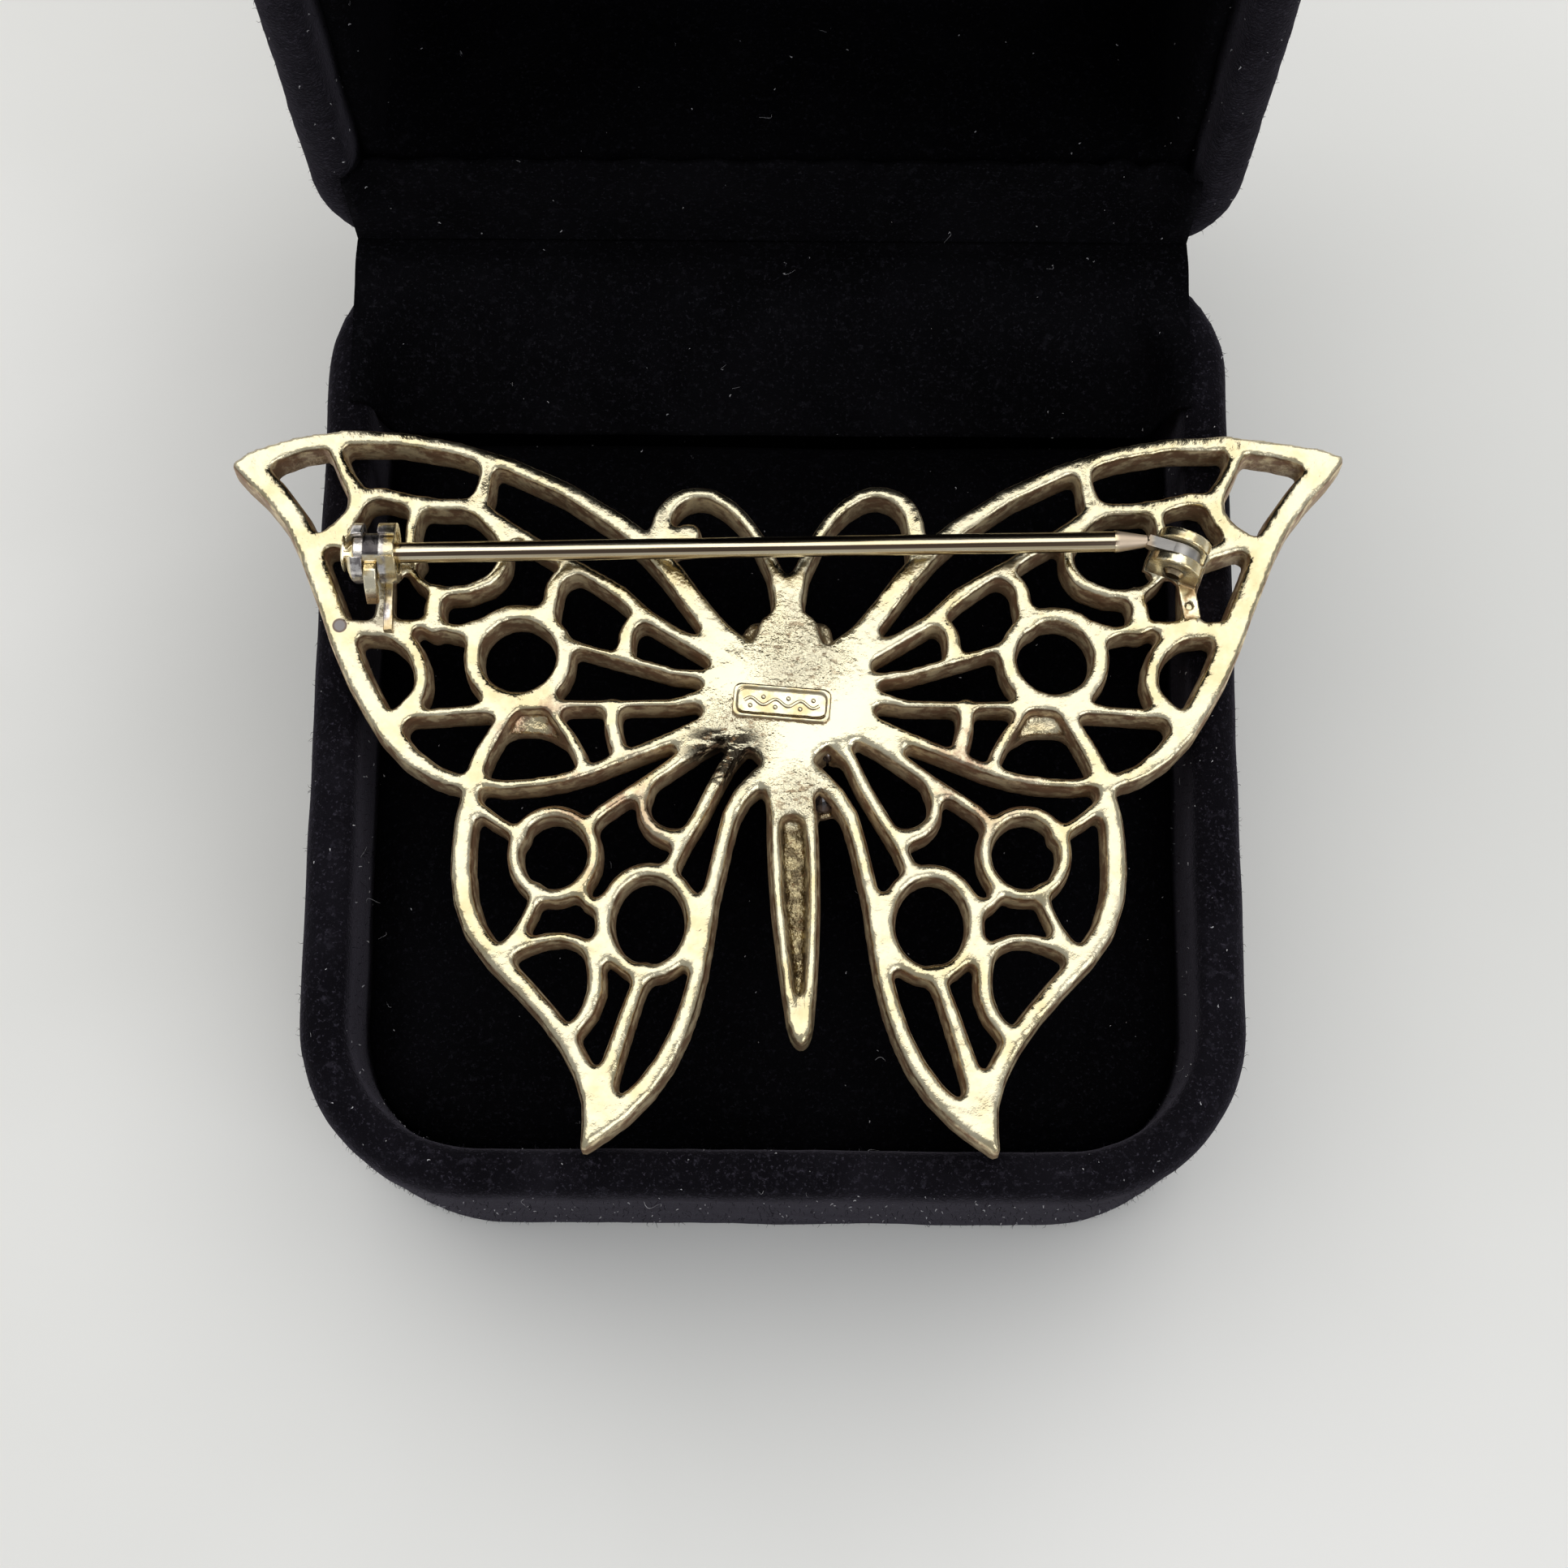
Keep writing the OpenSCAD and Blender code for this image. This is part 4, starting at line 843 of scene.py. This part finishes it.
def cloth_rows():
    """The cloth's points, row by row, along its section from the base into the lid."""
    widths = [(i / CLOTH_COLUMNS - 0.5) * CLOTH_W for i in range(CLOTH_COLUMNS + 1)]
    rows = []
    for y, up in smooth_line(CLOTH_IN_BASE, 5):
        row = []
        for x in widths:
            z = over_rim(x, y, BOX_W / 2, up, BASE_H) if y < CREST_Y else up
            row.append(Vector((x + CLOTH_SHIFT, y, z)) * MM)
        rows.append(row)
    for y, up in smooth_line(CLOTH_IN_LID, 6):
        free = max(0.0, (FOLDS_FROM - y) / FOLDS_GROW)
        row = []
        for x in widths:
            small = SMALL_FOLD * math.sin(1.7 * x + 0.6 * y)
            large = LARGE_FOLD * math.exp(-((x - LARGE_AT) / LARGE_W) ** 2) * math.sin(2.9 * x)
            z = over_rim(x, y, LID_W / 2, up, LID_H) + (small + large) * free
            row.append(in_lid(x + CLOTH_SHIFT - LID_SHIFT, y, z))
        rows.append(row)
    return rows


def make_hinge_cloth():
    """The cloth as one thick sheet, rippled a trace up and forward, that bends across the hinge."""
    rows = cloth_rows()
    places = np.array([p for row in rows for p in row])
    ripple = soft_waves(places, 7, 0.035, 51)
    bm = bmesh.new()
    verts = [bm.verts.new((p[0], p[1] - r, p[2] + r)) for p, r in zip(places, ripple)]
    per_row = CLOTH_COLUMNS + 1
    for j in range(len(rows) - 1):
        for k in range(j * per_row, j * per_row + CLOTH_COLUMNS):
            bm.faces.new((verts[k], verts[k + 1], verts[k + 1 + per_row], verts[k + per_row]))
    cloth = object_of("hinge_cloth", bm)
    if sum(p.normal.z * p.area for p in cloth.data.polygons) < 0:
        cloth.data.flip_normals()
    thick = cloth.modifiers.new("thickness", "SOLIDIFY")
    thick.thickness = CLOTH_T * MM
    thick.offset = 0.0
    baked(cloth)
    finish(cloth, CLOTH_VELVET, None)
    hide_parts("flap_base", "flap_lid")
    across_the_hinge(cloth)
    return cloth


# The nameplate's panel: its middle in shares of the half span, its turn, and the wave with its beads
PLAQUE_U = -0.0115
PLAQUE_V = 0.147
PLAQUE_TURN = math.radians(-5)
WAVE_PERIODS = 3
WAVE_LENGTH = 4.0
WAVE_HEIGHT = 0.17
WAVE_WIRE_R = 0.09
WAVE_UP = 0.25
BEAD_R = 0.13
BEAD_ASIDE = 0.26
BEAD_UP = 0.22


def on_plaque(x, y, up):
    """A point of the panel from its middle, in mm."""
    u = PLAQUE_U + (x * math.cos(PLAQUE_TURN) - y * math.sin(PLAQUE_TURN)) / HALF_SPAN
    v = PLAQUE_V + (x * math.sin(PLAQUE_TURN) + y * math.cos(PLAQUE_TURN)) / HALF_SPAN
    return on_brooch(u, v, up)


def make_plaque_scroll():
    """A plain wave in low relief on the nameplate's panel, with a bead in each of its hollows."""
    curve = bpy.data.curves.new("plaque_scroll", "CURVE")
    curve.dimensions = "3D"
    curve.bevel_depth = WAVE_WIRE_R * MM
    curve.bevel_resolution = 3
    curve.use_fill_caps = True
    spline = curve.splines.new("POLY")
    steps = 120
    spline.points.add(steps)
    for i in range(steps + 1):
        t = i / steps
        y = WAVE_HEIGHT * math.sin(2 * math.pi * WAVE_PERIODS * t)
        spline.points[i].co = (*on_plaque((t - 0.5) * WAVE_LENGTH, y, WAVE_UP), 1.0)
    line = link_to_scene("plaque_line", curve)
    bm = bmesh.new()
    bm.from_mesh(shown_mesh(line))
    bpy.data.objects.remove(line)
    beads = 2 * WAVE_PERIODS
    for i in range(beads):
        side = BEAD_ASIDE if i % 2 else -BEAD_ASIDE
        x = ((i + 0.5) / beads - 0.5) * WAVE_LENGTH
        place = Matrix.Translation(on_plaque(x, side, BEAD_UP))
        bmesh.ops.create_uvsphere(bm, u_segments=16, v_segments=10, radius=BEAD_R * MM, matrix=place)
    finish(object_of("plaque_scroll", bm), SCROLL_GOLD, "box")


# Fine fibres scattered over a surface by Geometry Nodes
def fibre_mesh(name, length, radius, bend, steps, sides=3):
    """A fibre along +Z with a bend, tapering to its tip."""
    bm = bmesh.new()
    rings = []
    for j in range(steps + 1):
        t = j / steps
        r = radius * (1 - 0.7 * t)
        centre = Vector((bend * t * t, bend * 0.5 * math.sin(t * 4.0), length * t))
        rings.append([bm.verts.new(centre + Vector((r * math.cos(2 * math.pi * k / sides),
                                                    r * math.sin(2 * math.pi * k / sides), 0)))
                      for k in range(sides)])
    for a, b in zip(rings, rings[1:]):
        for k in range(sides):
            bm.faces.new((a[k], a[(k + 1) % sides], b[(k + 1) % sides], b[k]))
    bm.faces.new(list(reversed(rings[0])))
    bm.faces.new(rings[-1])
    return object_of(name, bm)


def scatter_tree(name):
    """Scatters copies of a fibre over the mesh: density, spread of tilt and of size, and a seed."""
    tree = bpy.data.node_groups.new(name, "GeometryNodeTree")
    face = tree.interface
    face.new_socket("Geometry", in_out="INPUT", socket_type="NodeSocketGeometry")
    face.new_socket("Geometry", in_out="OUTPUT", socket_type="NodeSocketGeometry")
    ids = {}
    for label, kind in (("Fibre", "Object"), ("Density", "Float"), ("Tilt", "Float"), ("Least size", "Float"),
                        ("Most size", "Float"), ("Seed", "Int"), ("Finish", "Material")):
        ids[label] = face.new_socket(label, in_out="INPUT", socket_type=f"NodeSocket{kind}").identifier
    new = tree.nodes.new
    start = new("NodeGroupInput")
    end = new("NodeGroupOutput")
    spots = new("GeometryNodeDistributePointsOnFaces")
    spots.distribute_method = "RANDOM"
    put = new("GeometryNodeInstanceOnPoints")
    info = new("GeometryNodeObjectInfo")
    lean = new("FunctionNodeRandomValue")
    lean.data_type = "FLOAT_VECTOR"
    size = new("FunctionNodeRandomValue")
    size.data_type = "FLOAT"
    minus = new("ShaderNodeMath")
    minus.operation = "MULTIPLY"
    minus.inputs[1].default_value = -1.0
    low = new("ShaderNodeCombineXYZ")
    high = new("ShaderNodeCombineXYZ")
    tilt = new("FunctionNodeRotateRotation")
    tilt.rotation_space = "LOCAL"
    to_rotation = new("FunctionNodeEulerToRotation")
    real = new("GeometryNodeRealizeInstances")
    paint = new("GeometryNodeSetMaterial")
    link = tree.links.new
    link(start.outputs["Geometry"], spots.inputs["Mesh"])
    link(start.outputs["Density"], spots.inputs["Density"])
    link(start.outputs["Seed"], spots.inputs["Seed"])
    link(start.outputs["Fibre"], info.inputs["Object"])
    link(start.outputs["Tilt"], minus.inputs[0])
    for part, source in ((low, minus.outputs[0]), (high, start.outputs["Tilt"])):
        for axis in ("X", "Y"):
            link(source, part.inputs[axis])
    low.inputs["Z"].default_value = -math.pi
    high.inputs["Z"].default_value = math.pi
    vector_in = [s for s in lean.inputs if s.type == "VECTOR"]
    link(low.outputs[0], vector_in[0])
    link(high.outputs[0], vector_in[1])
    link(start.outputs["Seed"], lean.inputs["Seed"])
    value_in = [s for s in size.inputs if s.type == "VALUE"]
    link(start.outputs["Least size"], value_in[0])
    link(start.outputs["Most size"], value_in[1])
    link(start.outputs["Seed"], size.inputs["Seed"])
    vector_out = [s for s in lean.outputs if s.type == "VECTOR"][0]
    value_out = [s for s in size.outputs if s.type == "VALUE"][0]
    link(vector_out, to_rotation.inputs[0])
    link(spots.outputs["Rotation"], tilt.inputs["Rotation"])
    link(to_rotation.outputs[0], tilt.inputs["Rotate By"])
    link(spots.outputs["Points"], put.inputs["Points"])
    link(info.outputs["Geometry"], put.inputs["Instance"])
    link(tilt.outputs[0], put.inputs["Rotation"])
    link(value_out, put.inputs["Scale"])
    link(put.outputs["Instances"], real.inputs[0])
    link(real.outputs[0], paint.inputs["Geometry"])
    link(start.outputs["Finish"], paint.inputs["Material"])
    link(paint.outputs[0], end.inputs[0])
    return tree, ids


SCATTER, SCATTER_IDS = scatter_tree("fibre_scatter")


# Faces lower than this carry no fibres, so that none go into the table
LOWEST_FIBRE = 1.5 * MM


def off_the_table(face):
    return face.calc_center_median().z > LOWEST_FIBRE


def faces_out(face):
    """True on the side of the cloth that shows: its upper one, and in the lid its front one."""
    return face.normal.z > face.normal.y


def scatter(source, name, fibre, density, tilt, sizes, seed, material, body, keep):
    """Scatters the fibre over those faces of a copy of source that keep says."""
    bm = bmesh.new()
    bm.from_mesh(source.data)
    bmesh.ops.delete(bm, geom=[f for f in bm.faces if not keep(f)], context="FACES")
    obj = object_of(name, bm)
    mod = obj.modifiers.new("fibres", "NODES")
    mod.node_group = SCATTER
    for label, value in (("Fibre", fibre), ("Density", density), ("Tilt", tilt), ("Least size", sizes[0]),
                         ("Most size", sizes[1]), ("Seed", seed), ("Finish", material)):
        mod[SCATTER_IDS[label]] = value
    return finish(baked(obj), material, body)


def make_fibres(shells, cushions, cloth):
    """Pile on the shells, and lint and specks on all the velvet."""
    pile = fibre_mesh("pile_fibre", 0.26 * MM, 0.017 * MM, 0.10 * MM, 2)
    lint = fibre_mesh("lint_fibre", 0.8 * MM, 0.018 * MM, 0.5 * MM, 6)
    speck = fibre_mesh("lint_speck", 0.17 * MM, 0.048 * MM, 0.06 * MM, 2, 4)
    # ending of the piece's name, fibre, number a square metre, tilt, sizes, seed added, material
    on_shell = [("pile", pile, 9.0e5, 0.9, (0.5, 1.2), 0, SHELL_VELVET),
                ("lint", lint, 7.0e3, 1.45, (0.3, 1.1), 7, LINT),
                ("specks", speck, 1.5e5, 1.3, (0.3, 1.0), 19, LINT)]
    on_cushion = [("lint", lint, 6.0e3, 1.45, (0.25, 0.9), 0, LINT),
                  ("specks", speck, 5.0e4, 1.3, (0.25, 0.9), 29, LINT)]
    for pieces, table, slot in ((shells, on_shell, "velvet"), (cushions, on_cushion, "lining")):
        for piece, body, seed in pieces:
            for ending, fibre, density, tilt, sizes, more, material in table:
                scatter(piece, f"{piece.name}_{ending}", fibre, density, tilt, sizes, seed + more, material,
                        body, off_the_table)
    for fibre, density in ((lint, 1.2e4), (speck, 6.0e4)):
        lying = scatter(cloth, f"hinge_cloth_{fibre.name}", fibre, density, 1.35, (0.25, 0.9), 41, LINT,
                        None, faces_out)
        across_the_hinge(lying)
    for fibre in (pile, lint, speck):
        bpy.data.objects.remove(fibre)


def make_stage():
    bm = bmesh.new()
    bmesh.ops.create_grid(bm, x_segments=2, y_segments=2, size=0.6)
    table = object_of("table_top", bm)
    table.data.materials.append(table_top())


def area_light(name, place, aim, size, power, colour):
    data = bpy.data.lights.new(name, "AREA")
    data.shape = "RECTANGLE"
    data.size = size[0]
    data.size_y = size[1]
    data.energy = power
    data.color = colour
    light = link_to_scene(name, data)
    light.location = place
    light.rotation_euler = (Vector(aim) - Vector(place)).to_track_quat("-Z", "Y").to_euler()


def make_light():
    """A large window over and behind the box, a small fill at its front right, and a pale room."""
    world = bpy.data.worlds.new("studio")
    bpy.context.scene.world = world
    world.use_nodes = True
    background = world.node_tree.nodes["Background"]
    background.inputs["Color"].default_value = (0.95, 0.97, 1.0, 1.0)
    background.inputs["Strength"].default_value = 0.38
    area_light("window_above", place=(-0.08, 0.42, 0.80), aim=(0, 0.02, 0.02), size=(1.60, 1.25),
               power=8.6, colour=(1.0, 0.99, 0.96))
    area_light("soft_fill", place=(0.35, -0.35, 0.40), aim=(0, 0, 0.01), size=(0.4, 0.4),
               power=0.9, colour=(0.95, 0.97, 1.0))
    bpy.context.scene.view_settings.view_transform = "Standard"


place_camera()
make_casting()
make_roller()
paint_cad_nodes()
make_plaque_scroll()
base_shell = make_shell("box_base", "base_shell", "box", 11)
lid_shell = make_shell("box_lid", "lid_shell", "lid", 23)
base_cushion = make_cushion("box_pad", "base_cushion", "box", 31, 0.62)
lid_cushion = make_cushion("lid_lining", "lid_cushion", "lid", 37, 0.60)
hinge_cloth = make_hinge_cloth()
make_fibres([(base_shell, "box", 3), (lid_shell, "lid", 5)],
            [(base_cushion, "box", 13), (lid_cushion, "lid", 17)], hinge_cloth)
make_stage()
make_light()
